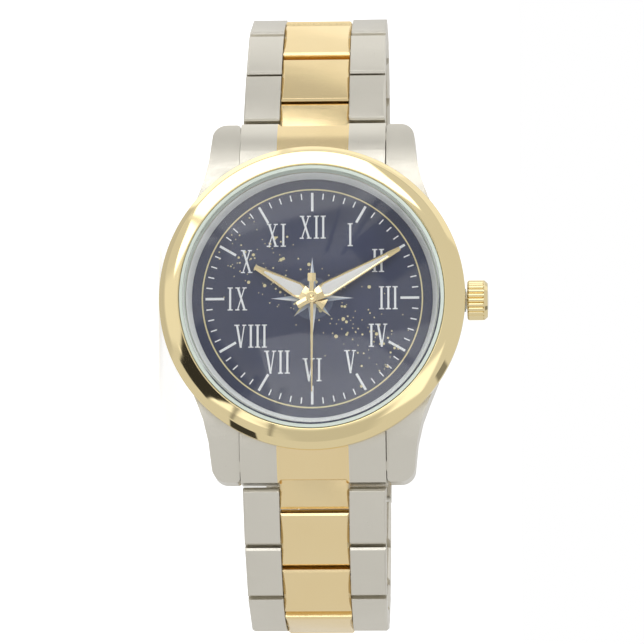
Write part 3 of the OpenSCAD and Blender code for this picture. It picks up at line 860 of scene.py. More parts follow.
def flecks_tree() -> Tree:
    """Small foil flecks strewn along a slanting band of a disc.

    Returns:
        The tree.
    """
    def build(desk: Desk, start: Node) -> dict[str, Socket]:
        """Fills the tree.

        Args:
            desk: The tree's desk.
            start: The node of its inputs.

        Returns:
            The socket of each output by name.
        """
        get = start.outputs
        disc = desk.add("GeometryNodeMeshCircle", {"Vertices": 96, "Radius": get["Radius"]}, fill_type="NGON")
        strewn = desk.add("GeometryNodeDistributePointsOnFaces", {
            "Mesh": disc.outputs[0], "Density": get["Density"], "Seed": get["Seed"]})
        place = desk.add("ShaderNodeSeparateXYZ", {0: desk.add("GeometryNodeInputPosition").outputs[0]})
        down = desk.math("MULTIPLY", place.outputs[1], -1.0)
        off = desk.math("MULTIPLY_ADD", place.outputs[0], get["Slant"], down)
        off = desk.math("DIVIDE", off, get["Band"])
        near = desk.math("EXPONENT", desk.math("MULTIPLY", desk.math("POWER", off, 2.0), -1.0))
        dice = desk.add("FunctionNodeRandomValue", {"Seed": 11}, data_type="FLOAT").outputs[1]
        inside = desk.math("LESS_THAN", dice, near)
        sizes = desk.add("FunctionNodeRandomValue", {"Seed": 5}, data_type="FLOAT").outputs[1]
        size = desk.math("MULTIPLY_ADD", desk.math("POWER", sizes, 4.0), 0.2, 0.07)
        dot = desk.add("GeometryNodeMeshCylinder", {"Vertices": 10, "Radius": 1.0, "Depth": get["Height"]})
        dots = desk.add("GeometryNodeInstanceOnPoints", {
            "Points": strewn.outputs["Points"], "Selection": inside, "Instance": dot.outputs[0],
            "Scale": desk.vector(size, size, 1.0)})
        raised = desk.add("GeometryNodeTransform", {
            0: dots.outputs[0], "Translation": desk.vector(z=get["Level"])})
        return realised(desk, raised.outputs[0], get["Ink"])

    return group("strewn flecks", {
        "Radius": ("Float", 14.3), "Density": ("Float", 1.1), "Seed": ("Int", 3),
        "Slant": ("Float", -0.7), "Band": ("Float", 4.2), "Height": ("Float", 0.01),
        "Level": ("Float", 7.2), "Ink": ("Material", None),
    }, {"Geometry": "Geometry"}, build, "GeometryNodeTree")


def crown_tree() -> Tree:
    """A fluted crown: a cylinder whose wall is drawn in at each flute and chamfered at its end.

    Returns:
        The tree.
    """
    def build(desk: Desk, start: Node) -> dict[str, Socket]:
        """Fills the tree.

        Args:
            desk: The tree's desk.
            start: The node of its inputs.

        Returns:
            The socket of each output by name.
        """
        get = start.outputs
        round_steps = desk.math("MULTIPLY", get["Flutes"], 12.0)
        body = desk.add("GeometryNodeMeshCylinder", {
            "Vertices": round_steps, "Side Segments": 40, "Fill Segments": 8, "Radius": get["Radius"],
            "Depth": get["Length"]})
        place = desk.add("ShaderNodeSeparateXYZ", {0: desk.add("GeometryNodeInputPosition").outputs[0]})
        x, y, z = place.outputs
        angle = desk.math("ARCTAN2", y, x)
        waves = desk.math("MULTIPLY", angle, desk.math("MULTIPLY", get["Flutes"], 0.5))
        wave = desk.math("ABSOLUTE", desk.math("SINE", waves))
        groove = desk.math("SUBTRACT", 1.0, desk.math("POWER", wave, 0.55))
        half = desk.math("MULTIPLY", get["Length"], 0.5)
        to_end = desk.math("SUBTRACT", half, z)
        to_back = desk.math("ADD", half, z)
        full = desk.math("MULTIPLY", get["Chamfer"], 1.5)
        shut_end = desk.ramp(to_end, get["Chamfer"], full, kind="SMOOTHSTEP")
        cut = desk.math("MULTIPLY", desk.math("MULTIPLY", groove, shut_end), get["Depth"])
        draw_in = desk.math("MAXIMUM", desk.math("SUBTRACT", get["Chamfer"], to_end), 0.0)
        draw_back = desk.math("MAXIMUM", desk.math("SUBTRACT", 0.2, to_back), 0.0)
        loss = desk.math("ADD", cut, desk.math("ADD", desk.math("MULTIPLY", draw_in, 0.9), draw_back))
        reach = desk.math("SQRT", desk.math("ADD", desk.math("POWER", x, 2.0), desk.math("POWER", y, 2.0)))
        share = desk.math("DIVIDE", reach, get["Radius"])
        factor = desk.math("SUBTRACT", 1.0, desk.math("DIVIDE", loss, get["Radius"]))
        on_end = desk.math("GREATER_THAN", z, desk.math("SUBTRACT", half, 0.001))
        bulge = desk.math("MULTIPLY", desk.math("SUBTRACT", 1.0, desk.math("POWER", share, 2.0)),
                          desk.math("MULTIPLY", on_end, get["Dome"]))
        moved = desk.vector(desk.math("MULTIPLY", x, factor), desk.math("MULTIPLY", y, factor),
                            desk.math("ADD", z, bulge))
        shaped = desk.add("GeometryNodeSetPosition", {0: body.outputs[0], "Position": moved})
        return realised(desk, shaped.outputs[0], get["Plating"])

    return group("fluted crown", {
        "Radius": ("Float", 2.75), "Length": ("Float", 2.6), "Flutes": ("Int", 24),
        "Depth": ("Float", 0.3), "Chamfer": ("Float", 0.45), "Dome": ("Float", 0.1),
        "Plating": ("Material", None),
    }, {"Geometry": "Geometry"}, build, "GeometryNodeTree")


# The watch


@dataclass
class Finishes:
    """Every finish of the watch, built once."""

    gold: Material = field(init=False)
    gold_band: Material = field(init=False)
    hand_gold: Material = field(init=False)
    steel: Material = field(init=False)
    bright_steel: Material = field(init=False)
    back_steel: Material = field(init=False)
    works_brass: Material = field(init=False)
    works_steel: Material = field(init=False)
    copper: Material = field(init=False)
    board: Material = field(init=False)
    gasket: Material = field(init=False)
    ring_white: Material = field(init=False)
    dial_navy: Material = field(init=False)
    glass: Material = field(init=False)
    white_ink: Material = field(init=False)
    gold_ink: Material = field(init=False)
    silver_ink: Material = field(init=False)
    blue_ink: Material = field(init=False)
    lume: Material = field(init=False)

    def __post_init__(self) -> None:
        """Builds the materials."""
        gold, deep_gold = (0.86, 0.725, 0.42), (0.83, 0.68, 0.37)
        link_gold, deep_link_gold = (0.88, 0.71, 0.41), (0.85, 0.66, 0.35)
        steel, deep_steel = (0.72, 0.69, 0.61), (0.67, 0.64, 0.56)
        brass, dull = (0.72, 0.54, 0.24), (0.55, 0.54, 0.53)
        self.gold = Metal("gold_plate", gold, deep_gold, 0.035, wear=0.02).build()
        self.gold_band = Metal("gold_plate_lined", link_gold, deep_link_gold, 0.11, Grain.ALONG, 0.45).build()
        self.hand_gold = Metal("gold_hands", link_gold, deep_link_gold, 0.08).build()
        self.steel = Metal("satin_steel", steel, deep_steel, 0.2, Grain.ALONG, 1.0).build()
        self.bright_steel = Metal("bright_steel", steel, deep_steel, 0.12, Grain.ALONG, 0.3).build()
        self.back_steel = Metal("turned_steel", steel, deep_steel, 0.2, Grain.ROUND, 0.9).build()
        self.works_brass = Metal("works_brass", brass, (0.6, 0.43, 0.18), 0.22, Grain.ROUND, 0.6).build()
        self.works_steel = Metal("works_steel", dull, (0.5, 0.49, 0.48), 0.25, Grain.ROUND, 0.6).build()
        self.copper = Metal("coil_wire", (0.65, 0.28, 0.12), (0.5, 0.2, 0.08), 0.3, Grain.ALONG, 1.0).build()
        self.board = Matter("circuit_lacquer", (0.02, 0.12, 0.05), (0.03, 0.2, 0.08), 0.35, coat=0.5).build()
        self.gasket = Matter("gasket", (0.66, 0.73, 0.66), (0.58, 0.66, 0.59), 0.4).build()
        self.ring_white = Matter("ring_white", (0.9, 0.915, 0.915), (0.86, 0.88, 0.88), 0.45).build()
        self.dial_navy = Lacquer("dial_lacquer", (0.038, 0.045, 0.098), (0.05, 0.056, 0.097), 0.0163).build()
        self.glass = Crystal("crystal", (0.985, 0.997, 0.988)).build()
        self.white_ink = Matter("white_ink", (0.9, 0.91, 0.93), (0.86, 0.87, 0.9), 0.5).build()
        self.gold_ink = Matter("gold_ink", (0.74, 0.66, 0.38), (0.66, 0.57, 0.3), 0.42).build()
        self.silver_ink = Matter("silver_ink", (0.5, 0.56, 0.68), (0.44, 0.5, 0.62), 0.4).build()
        self.blue_ink = Matter("blue_ink", (0.075, 0.095, 0.17), (0.06, 0.08, 0.16), 0.45).build()
        self.lume = Matter("lume", (0.9, 0.88, 0.86), (0.86, 0.83, 0.82), 0.65, 9000.0, 0.2).build()


@dataclass
class Case:
    """Case middle, bezel, crystal, rings and case back.

    Attributes:
        finishes: The watch's finishes.
        top_r: Radius at which the bezel's top meets its chamfer.
        bore_r: Radius of the bezel's opening.
        dome: Rise of the bezel's top from its chamfer to its opening.
        chamfer: Height of the bezel's chamfer.
        edge: Width of the broken edges.
        back_edge: Width of the case back's broken edges.
        lip: How far the bezel's lip reaches in under the crystal.
        foot: Bevel at the foot of the bezel's wall.
        corner: Bevel at the bezel's opening.
        sag: Drop of the top's middle, as a share of the dome.
        bevel: Width of the crystal's bevel.
        foot_in: How far the gasket's inner wall stands inside the opening.
        foot_out: How far its outer wall stands inside the opening.
        slope_r: Inner radius of the dial ring.
        band: Half width of an end link's gold middle.
    """

    finishes: Finishes
    top_r: float = 20.2
    bore_r: float = 18.15
    dome: float = 0.3
    chamfer: float = 1.0
    edge: float = 0.12
    back_edge: float = 0.08
    lip: float = 0.9
    foot: float = 0.3
    corner: float = 0.15
    sag: float = 0.45
    bevel: float = 0.2
    foot_in: float = 0.88
    foot_out: float = 0.46
    slope_r: float = 16.3
    band: float = 4.95

    def bezel(self) -> Mesh:
        """Turns the bezel: flat seat, wall, chamfer and domed top.

        Returns:
            Its mesh.
        """
        low, high = span("bezel")
        lip_z = span("crystal")[0].z - 0.05
        lip_r = self.bore_r - self.lip
        top = high.z
        mid_r = (self.top_r + self.bore_r + 0.2) / 2
        return turned("bezel_ring", rounded([
            (lip_r, low.z), (high.x - self.foot, low.z), (high.x, low.z + self.foot),
            (high.x, top - self.dome - self.chamfer), (self.top_r, top - self.dome),
            (mid_r, top - self.sag * self.dome), (self.bore_r + self.corner, top),
            (self.bore_r, top - self.corner), (self.bore_r, lip_z), (lip_r, lip_z)], self.edge))

    def crystal(self) -> Mesh:
        """Turns the crystal with its bevelled edge.

        Returns:
            Its mesh.
        """
        low, high = span("crystal")
        return turned("crystal_disc", rounded([
            (0, low.z), (high.x, low.z), (high.x, high.z - self.bevel), (high.x - self.bevel, high.z),
            (0, high.z)], 0.03, 2))

    def gasket_foot(self) -> Mesh:
        """Turns the gasket's foot, on which the crystal stands.

        Returns:
            Its mesh.
        """
        under = span("crystal")[0].z
        inner, outer = self.bore_r - self.foot_in, self.bore_r - self.foot_out
        return turned("gasket_foot", rounded([
            (inner, under - 0.05), (outer, under - 0.05), (outer, under - 0.005), (inner, under - 0.005)],
            0.01, 2))

    def dial_ring(self) -> Mesh:
        """Turns the white ring that slopes from the crystal to the dial.

        Returns:
            Its mesh.
        """
        low, high = span("dial_ring")
        return turned("sloping_ring", rounded([
            (self.slope_r, low.z), (high.x, low.z), (high.x, high.z), (high.x - 0.15, high.z)], 0.04, 2))

    def end_link(self, side: int) -> Mesh:
        """Works an end link and plates its middle gold.

        Args:
            side: 12 or 6.

        Returns:
            Its mesh, with both finishes.
        """
        band = self.band * MM
        mesh = bench_copy(f"end_link_{side}", self.edge)
        work = bmesh.new()
        work.from_mesh(mesh)
        for edge in (-band, band):
            bmesh.ops.bisect_plane(work, geom=work.verts[:] + work.edges[:] + work.faces[:], dist=1e-8,
                                   plane_co=(0, 0, edge), plane_no=(0, 0, 1))
        for face in work.faces:
            face.material_index = int(abs(face.calc_center_median().z) < band)
        work.to_mesh(mesh)
        work.free()
        mesh.materials.append(self.finishes.steel)
        mesh.materials.append(self.finishes.gold_band)
        return mesh

    def build(self) -> None:
        """Builds and dresses the case."""
        done = self.finishes
        add_piece("bezel_ring", self.bezel(), done.gold, "case", "polished_gold", "bezel")
        glass = add_piece("crystal_disc", self.crystal(), done.glass, "case", "crystal_glass", "crystal")
        glass.visible_shadow = False
        add_piece("gasket_foot", self.gasket_foot(), done.gasket, "case", "white_ring")
        add_piece("sloping_ring", self.dial_ring(), done.ring_white, "case", "white_ring", "dial_ring")
        add_piece("case_worked", bench_copy("case_middle", self.edge, 3), done.steel, "case", "satin_steel",
                  "case_middle")
        add_piece("back_worked", bench_copy("case_back", self.back_edge), done.back_steel, "case",
                  "satin_steel", "case_back")
        for side in SIDES:
            add_piece(f"end_link_{side}_worked", self.end_link(side), None, "case", "satin_steel",
                      f"end_link_{side}")
        dress("gaskets", done.gasket)
        dress("spring_bars", done.bright_steel)


def dress(node: str, material: Material) -> None:
    """Gives a CAD node that stays its finish.

    Args:
        node: The node's name.
        material: Its finish.
    """
    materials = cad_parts[node].data.materials
    materials.clear()
    materials.append(material)


def prisms(name: str, shapes: Iterable[tuple[Sequence[Point], float, float]]) -> Mesh:
    """Makes flat shapes with a thickness, such as print on a dial.

    Args:
        name: The mesh's name.
        shapes: Outline, lowest and highest level of each shape.

    Returns:
        The mesh, stood in the row frame.
    """
    points, faces = [], []
    for outline, low, high in shapes:
        first, count = len(points), len(outline)
        points += [(x, y, low) for x, y in outline] + [(x, y, high) for x, y in outline]
        faces.append(range(first + count - 1, first - 1, -1))
        faces.append(range(first + count, first + 2 * count))
        for i in range(count):
            j = (i + 1) % count
            faces.append((first + i, first + j, first + count + j, first + count + i))
    return mesh_from(name, points, faces)


def clock(radius: float, degrees: float) -> Point:
    """Point at a radius and an angle clockwise from 12 o'clock.

    Args:
        radius: Distance from the axis.
        degrees: The angle.

    Returns:
        Its place.
    """
    return radius * math.sin(math.radians(degrees)), radius * math.cos(math.radians(degrees))


@dataclass
class Numerals:
    """Slab-serif Roman numerals, all upright, on an oval round the dial's centre.

    Attributes:
        height: Height of the letters.
        thick: Width of a thick stroke.
        thin: Width of a thin stroke.
        serif: Width of a serif.
        slab: Height of a serif.
        across: Half width of the oval.
        along: Half height of the oval.
        tuck: Shift towards the centre for each further letter left of the centre.
        swell: How far the oval bulges between its axes.
    """

    height: float = 3.15
    thick: float = 0.29
    thin: float = 0.15
    serif: float = 0.7
    slab: float = 0.15
    across: float = 10.3
    along: float = 9.75
    tuck: float = 0.2
    swell: float = 0.27

    def stroke(self, x0: float, x1: float, width: float) -> list[Point]:
        """Stroke from x0 at the foot to x1 at the head."""
        h, w = self.height / 2, width / 2
        return [(x0 - w, -h), (x0 + w, -h), (x1 + w, h), (x1 - w, h)]

    def slabs(self, x: float, top: bool, width: float) -> list[Point]:
        """Outline of a serif.

        Args:
            x: Its middle.
            top: Whether it is at the letter's head, and not at its foot.
            width: Its width.

        Returns:
            Its corners.
        """
        w = width / 2
        low = self.height / 2 - self.slab if top else -self.height / 2
        high = low + self.slab
        return [(x - w, low), (x + w, low), (x + w, high), (x - w, high)]

    def letter(self, sign: str) -> tuple[float, list[list[Point]]]:
        """Advance and outlines of one letter.

        Args:
            sign: I, V or X.

        Returns:
            Its advance and its outlines round x = 0.
        """
        if sign == "I":
            return 0.92, [self.stroke(0, 0, self.thick), self.slabs(0, True, self.serif),
                          self.slabs(0, False, self.serif)]
        if sign == "V":
            return 1.85, [self.stroke(0.04, -0.5, self.thick), self.stroke(0.04, 0.5, self.thin),
                          self.slabs(-0.5, True, self.serif), self.slabs(0.5, True, self.serif * 0.8)]
        return 2.05, [self.stroke(0.5, -0.46, self.thick), self.stroke(-0.5, 0.46, self.thin),
                      self.slabs(-0.46, True, self.serif * 0.9), self.slabs(0.46, True, self.serif * 0.8),
                      self.slabs(-0.5, False, self.serif * 0.8), self.slabs(0.5, False, self.serif * 0.9)]

    def build(self, level: float, depth: float) -> Mesh:
        """Sets all twelve numerals.

        Args:
            level: Height of the dial's surface.
            depth: Thickness of the print.

        Returns:
            The mesh.
        """
        words = ("XII", "I", "II", "III", "IV", "V", "VI", "VII", "VIII", "IX", "X", "XI")
        shapes = []
        for hour, word in enumerate(words):
            turn = math.radians(30 * hour)
            x, y = self.across * math.sin(turn), self.along * math.cos(turn)
            y += self.swell * math.sin(2 * turn) * math.copysign(1, x)
            if x < -1:
                x += self.tuck * (len(word) - 1)
            letters = [self.letter(sign) for sign in word]
            x -= sum(advance for advance, _ in letters) / 2
            for advance, outlines in letters:
                for k, outline in enumerate(outlines):
                    placed = [(x + advance / 2 + px, y + py) for px, py in outline]
                    shapes.append((placed, level, level + depth + 0.002 * k))
                x += advance
        return prisms("numerals", shapes)


@dataclass
class Dial:
    """Dial plate and its print: marks, ring, numerals, a compass star and foil flecks.

    Attributes:
        finishes: The watch's finishes.
        ink: Thickness of the print.
        ring_r: Radius of the thin gold ring.
        star_long: Length of the star's four main points.
        star_short: Length of its four lesser points.
        star_waist: Radius at which two points meet.
        star_disc: Radius of the disc behind the star.
        edge: Width of the plate's broken edge.
        band: Half width of the gold ring.
    """

    finishes: Finishes
    ink: float = 0.02
    ring_r: float = 14.9
    star_long: float = 5.6
    star_short: float = 3.5
    star_waist: float = 0.85
    star_disc: float = 2.9
    edge: float = 0.06
    band: float = 0.1

    def star_halves(self, length: float, start: float, side: int,
                    level: float) -> list[tuple[list[Point], float, float]]:
        """One half of each of four star points.

        Args:
            length: Length of the points.
            start: Clock angle of the first.
            side: 1 for the half clockwise of the point's middle, -1 for the other.
            level: Height of the surface below.

        Returns:
            The shapes.
        """
        shapes = []
        for k in range(4):
            middle = start + 90 * k
            outline = [(0.0, 0.0), clock(length, middle), clock(self.star_waist, middle + 45 * side)]
            shapes.append((outline, level, level + self.ink))
        return shapes

    def build(self) -> None:
        """Builds the dial plate and its print."""
        done = self.finishes
        low, high = span("dial")
        top = high.z
        plate = turned("dial_disc", rounded([
            (0, low.z), (high.x, low.z), (high.x, top - self.edge), (high.x - self.edge, top), (0, top)],
            0.02, 2))
        add_piece("dial_disc", plate, done.dial_navy, "case", "dial_navy", "dial")
        near, far = self.ring_r - self.band, self.ring_r + self.band
        ring = turned("gold_circle", [(near, top), (far, top), (far, top + self.ink), (near, top + self.ink)])
        add_piece("gold_circle", ring, done.gold_ink, "case", "dial_navy")
        tree = marks_tree()
        for name, count, left_out, first, radius, length, width in (
                ("hour_marks", 12, 100.0, 1.0, 13.2, 2.55, 0.34),
                ("minute_marks", 60, 5.0, 0.0, 14.0, 0.85, 0.17)):
            marks = grown(name, tree, {
                "Count": count, "Leave out": left_out, "First": first, "Radius": radius, "Length": length,
                "Width": width, "Height": self.ink, "Level": top, "Ink": done.white_ink})
            add_piece(name, marks, None, "case", "dial_navy")
        flecks = grown("flecks", flecks_tree(), {
            "Level": top + self.ink / 2, "Height": self.ink, "Ink": done.gold_ink})
        add_piece("flecks", flecks, None, "case", "dial_navy")
        add_piece("numerals", Numerals().build(top, 1.5 * self.ink), done.white_ink, "case", "dial_navy")
        disc = turned("star_disc", [(0, top), (self.star_disc, top), (self.star_disc, top + self.ink),
                                    (0, top + self.ink)], 96)
        add_piece("star_disc", disc, done.blue_ink, "case", "dial_navy")
        for name, length, start, side, step, finish in (
                ("star_gold", self.star_short, 45, 1, 1.5, done.gold_ink),
                ("star_pale_gold", self.star_short, 45, -1, 1.5, done.silver_ink),
                ("star_white", self.star_long, 0, -1, 2.0, done.white_ink),
                ("star_silver", self.star_long, 0, 1, 2.0, done.silver_ink)):
            halves = prisms(name, self.star_halves(length, start, side, top + step * self.ink))
            add_piece(name, halves, finish, "case", "dial_navy")


@dataclass(frozen=True)
class Station:
    """A cross-section of a hand.

    Attributes:
        y: Place along the hand, from the axis.
        half: Half width.
        open_half: Half width of the lume channel there, 0 for a closed ridge.
    """

    y: float
    half: float
    open_half: float = 0.0


@dataclass
class Hands:
    """The three hands: faceted gold frames filled with lume, and a ridged needle.

    Attributes:
        finishes: The watch's finishes.
        edge_h: Height of a hand's upright edge.
        floor_h: Height of the lume channel's floor.
        lip: Depth of the channel's lips below the ridges.
        lume_gap: Gap between lume and frame at the sides.
        lume_end: Gap between lume and frame at the ends.
        crown: Rise of the lume's middle above its sides, and depth of it below the ridges.
        needle_h: Height of the needle.
    """

    finishes: Finishes
    edge_h: float = 0.06
    floor_h: float = 0.05
    lip: float = 0.04
    lume_gap: float = 0.015
    lume_end: float = 0.03
    crown: float = 0.03
    needle_h: float = 0.16

    def strip(self, name: str, stations: Sequence[Station], low: float, high: float,
              turn: float) -> Mesh:
        """Lofts a hand's frame through its stations.

        Args:
            name: The mesh's name.
            stations: Its cross-sections from tail to tip.
            low: Height of its underside.
            high: Height of its ridges.
            turn: Clock angle at which it points.

        Returns:
            The mesh.
        """
        rings = []
        for s in stations:
            crest = (s.half + s.open_half) / 2 if s.open_half else 0.0
            lip = high - self.lip if s.open_half else high
            floor = low + self.floor_h if s.open_half else high
            right = [(s.half, low), (s.half, low + self.edge_h), (crest, high), (s.open_half, lip),
                     (s.open_half, floor)]
            rings.append([(x, s.y, z) for x, z in [(-x, z) for x, z in right] + right[::-1]])
        return lofted(name, rings, turn, HAND_SHARP_DEG)

    def filling(self, name: str, stations: Sequence[Station], low: float, high: float,
                turn: float) -> Mesh:
        """Lume that fills the channel, slightly crowned.

        Args:
            name: The mesh's name.
            stations: The hand's cross-sections.
            low: Height of the hand's underside.
            high: Height of the lume's crown.
            turn: Clock angle at which the hand points.

        Returns:
            The mesh.
        """
        inside = [s for s in stations if s.open_half]
        first, last = inside[0].y + self.lume_end, inside[-1].y - self.lume_end
        floor, side = low + self.floor_h, high - self.crown
        rings = []
        for s in inside:
            half, y = s.open_half - self.lume_gap, min(max(s.y, first), last)
            rings.append([(-half, y, floor), (-half, y, side), (0, y, high), (half, y, side),
                          (half, y, floor)])
        return lofted(name, rings, turn, ROUND_SHARP_DEG)

    def build(self) -> None:
        """Builds the hands."""
        done = self.finishes
        hour = ((-2.05, 0.74), (-2.0, 0.8), (-1.0, 0.45), (0.4, 0.75), (1.6, 1.0), (1.62, 1.0, 0.55),
                (2.3, 1.1, 0.82), (7.45, 0.46, 0.12), (7.47, 0.46), (8.8, 0.32), (8.9, 0.26))
        minute = ((-2.3, 0.4), (-2.25, 0.45), (-0.8, 0.5), (0.5, 0.75), (1.6, 0.97), (1.62, 0.97, 0.5),
                  (2.3, 1.08, 0.78), (11.8, 0.42, 0.12), (11.82, 0.42), (13.6, 0.28), (13.7, 0.22))
        for name, rows, turn in (("hour_hand", hour, 299.0), ("minute_hand", minute, 61.0)):
            stations = [Station(*row) for row in rows]
            low, high = span(name)
            body = name.split("_")[0]
            frame_mesh = self.strip(name + "_frame", stations, low.z, high.z, turn)
            add_piece(name + "_frame", frame_mesh, done.hand_gold, body, "hand_gold", name)
            lume = self.filling(name + "_lume", stations, low.z, high.z - self.crown, turn)
            add_piece(name + "_lume", lume, done.lume, body, "white_ring")
        needle = [Station(*row) for row in (
            (-3.3, 0.5), (-3.2, 0.55), (-2.2, 0.55), (-2.12, 0.28), (0, 0.22), (13.0, 0.09))]
        low, high = span("second_hand")
        mesh = self.strip("needle", needle, low.z, low.z + self.needle_h, 180.0)
        add_piece("needle", mesh, done.hand_gold, "seconds", "hand_gold", "second_hand")
        hub = turned("needle_hub", rounded([
            (0, low.z - 0.02), (0.8, low.z - 0.02), (0.8, high.z - 0.05), (0.75, high.z), (0.24, high.z),
            (0.22, high.z - 0.04), (0.18, high.z - 0.04), (0.16, high.z + 0.02), (0, high.z + 0.02)],
            0.02, 2), 64)
        add_piece("needle_hub", hub, done.hand_gold, "seconds", "hand_gold")


@dataclass
class Crown:
    """The fluted crown.

    Attributes:
        finishes: The watch's finishes.
        stem_height: Height of the stem's axis in the watch's frame.
    """

    finishes: Finishes
    stem_height: float = 4.6

    def build(self) -> None:
        """Grows the crown and sets it on its axis."""
        low, high = span("crown")
        length = high.x - low.x
        mesh = grown("crown_fluted", crown_tree(), {
            "Radius": (high.y - low.y) / 2, "Length": length, "Plating": self.finishes.gold}, stood=False)
        axis = Matrix.Translation((0, -self.stem_height * MM, (low.x + length / 2) * MM))
        mesh.transform(axis @ Matrix.Scale(MM, 4))
        finish_mesh(mesh, ROUND_SHARP_DEG)
        add_piece("crown_fluted", mesh, None, "crown", "polished_gold", "crown")


@dataclass
class Bracelet:
    """The links of both sides and the clasp.

    Attributes:
        finishes: The watch's finishes.
        edge: Width of the links' broken edges.
        clasp_edge: Width of the clasp's broken edges.
    """

    finishes: Finishes
    edge: float = 0.12
    clasp_edge: float = 0.08

    def build(self) -> None:
        """Works every link and the clasp's three parts."""
        done = self.finishes
        for side in SIDES:
            for n in range(1, LINKS + 1):
                for kind, finish, slot in (("centre_link", done.gold_band, "polished_gold"),
                                           ("side_links", done.steel, "satin_steel")):
                    node = f"{kind}_{side}_{n}"
                    add_piece(node + "_worked", bench_copy(node, self.edge, 3), finish, node, slot, node)
        for node, finish, slot in (("clasp_cover", done.steel, "satin_steel"),
                                   ("clasp_outer_blade", done.bright_steel, "polished_steel"),
                                   ("clasp_inner_blade", done.bright_steel, "polished_steel")):
            add_piece(node + "_worked", bench_copy(node, self.clasp_edge), finish, node, slot, node)


@dataclass
class Movement:
    """The works inside, which keep their shapes and get their finishes."""

    finishes: Finishes

    def build(self) -> None:
        """Dresses every node of the works."""
        done = self.finishes
        finish_of = {
            done.works_brass: ("main_plate", "train_bridge", "fifth_wheel", "third_wheel", "minute_wheel",
                               "hour_wheel", "cannon_pinion", "seconds_wheel"),
            done.works_steel: ("stator", "battery", "rotor", "clutch_wheel", "stem"),
            done.copper: ("coil",),
            done.board: ("circuit_board",),
        }
        for finish, nodes in finish_of.items():
            for node in nodes:
                dress(node, finish)


@dataclass(frozen=True)
class Card:
    """A softbox or a flag that metal sees, placed as a mirror in the dial's plane would show it.

    Attributes:
        clock: Clock angle at which it stands out from the mirror's middle, in degrees.
        off: How far its middle is from what the mirror's middle shows, in degrees.
        along: Half of its size round the clock, in degrees.
        out: Half of its size outwards, in degrees.
        shade: Its brightness.
        soft: Width of its soft edge, in degrees.
    """

    clock: float
    off: float
    along: float
    out: float
    shade: float
    soft: float


CARDS = (
    Card(0, 89, 55, 23, 1.04, 3),
    Card(0, 50, 40, 15, 0.64, 2),
    Card(181, 12, 20, 5, 1.4, 2),
    Card(172, 20, 7.5, 8, 0.66, 4),
    Card(267, 18, 5.6, 11, 0.98, 3),
    Card(345, 20, 15, 12, 2.6, 1),
    Card(305.5, 17.5, 0.5, 10, 1.0, 0.8),
    Card(237, 17.5, 4.1, 8, 0.04, 0.8),
    Card(214.6, 18, 0.35, 9, 0.3, 0.6),
    Card(197.6, 18, 0.35, 9, 0.35, 0.6),
    Card(287, 102, 27, 16, 0.66, 5),
    Card(330, 102, 15, 14, 1.6, 3),
    Card(8, 111, 18, 8, 1.25, 3),
    Card(215, 103, 6.3, 12, 0.05, 1),
    Card(113, 102, 4, 12, 0.28, 2),
)
PLAIN_SKY = 0.78


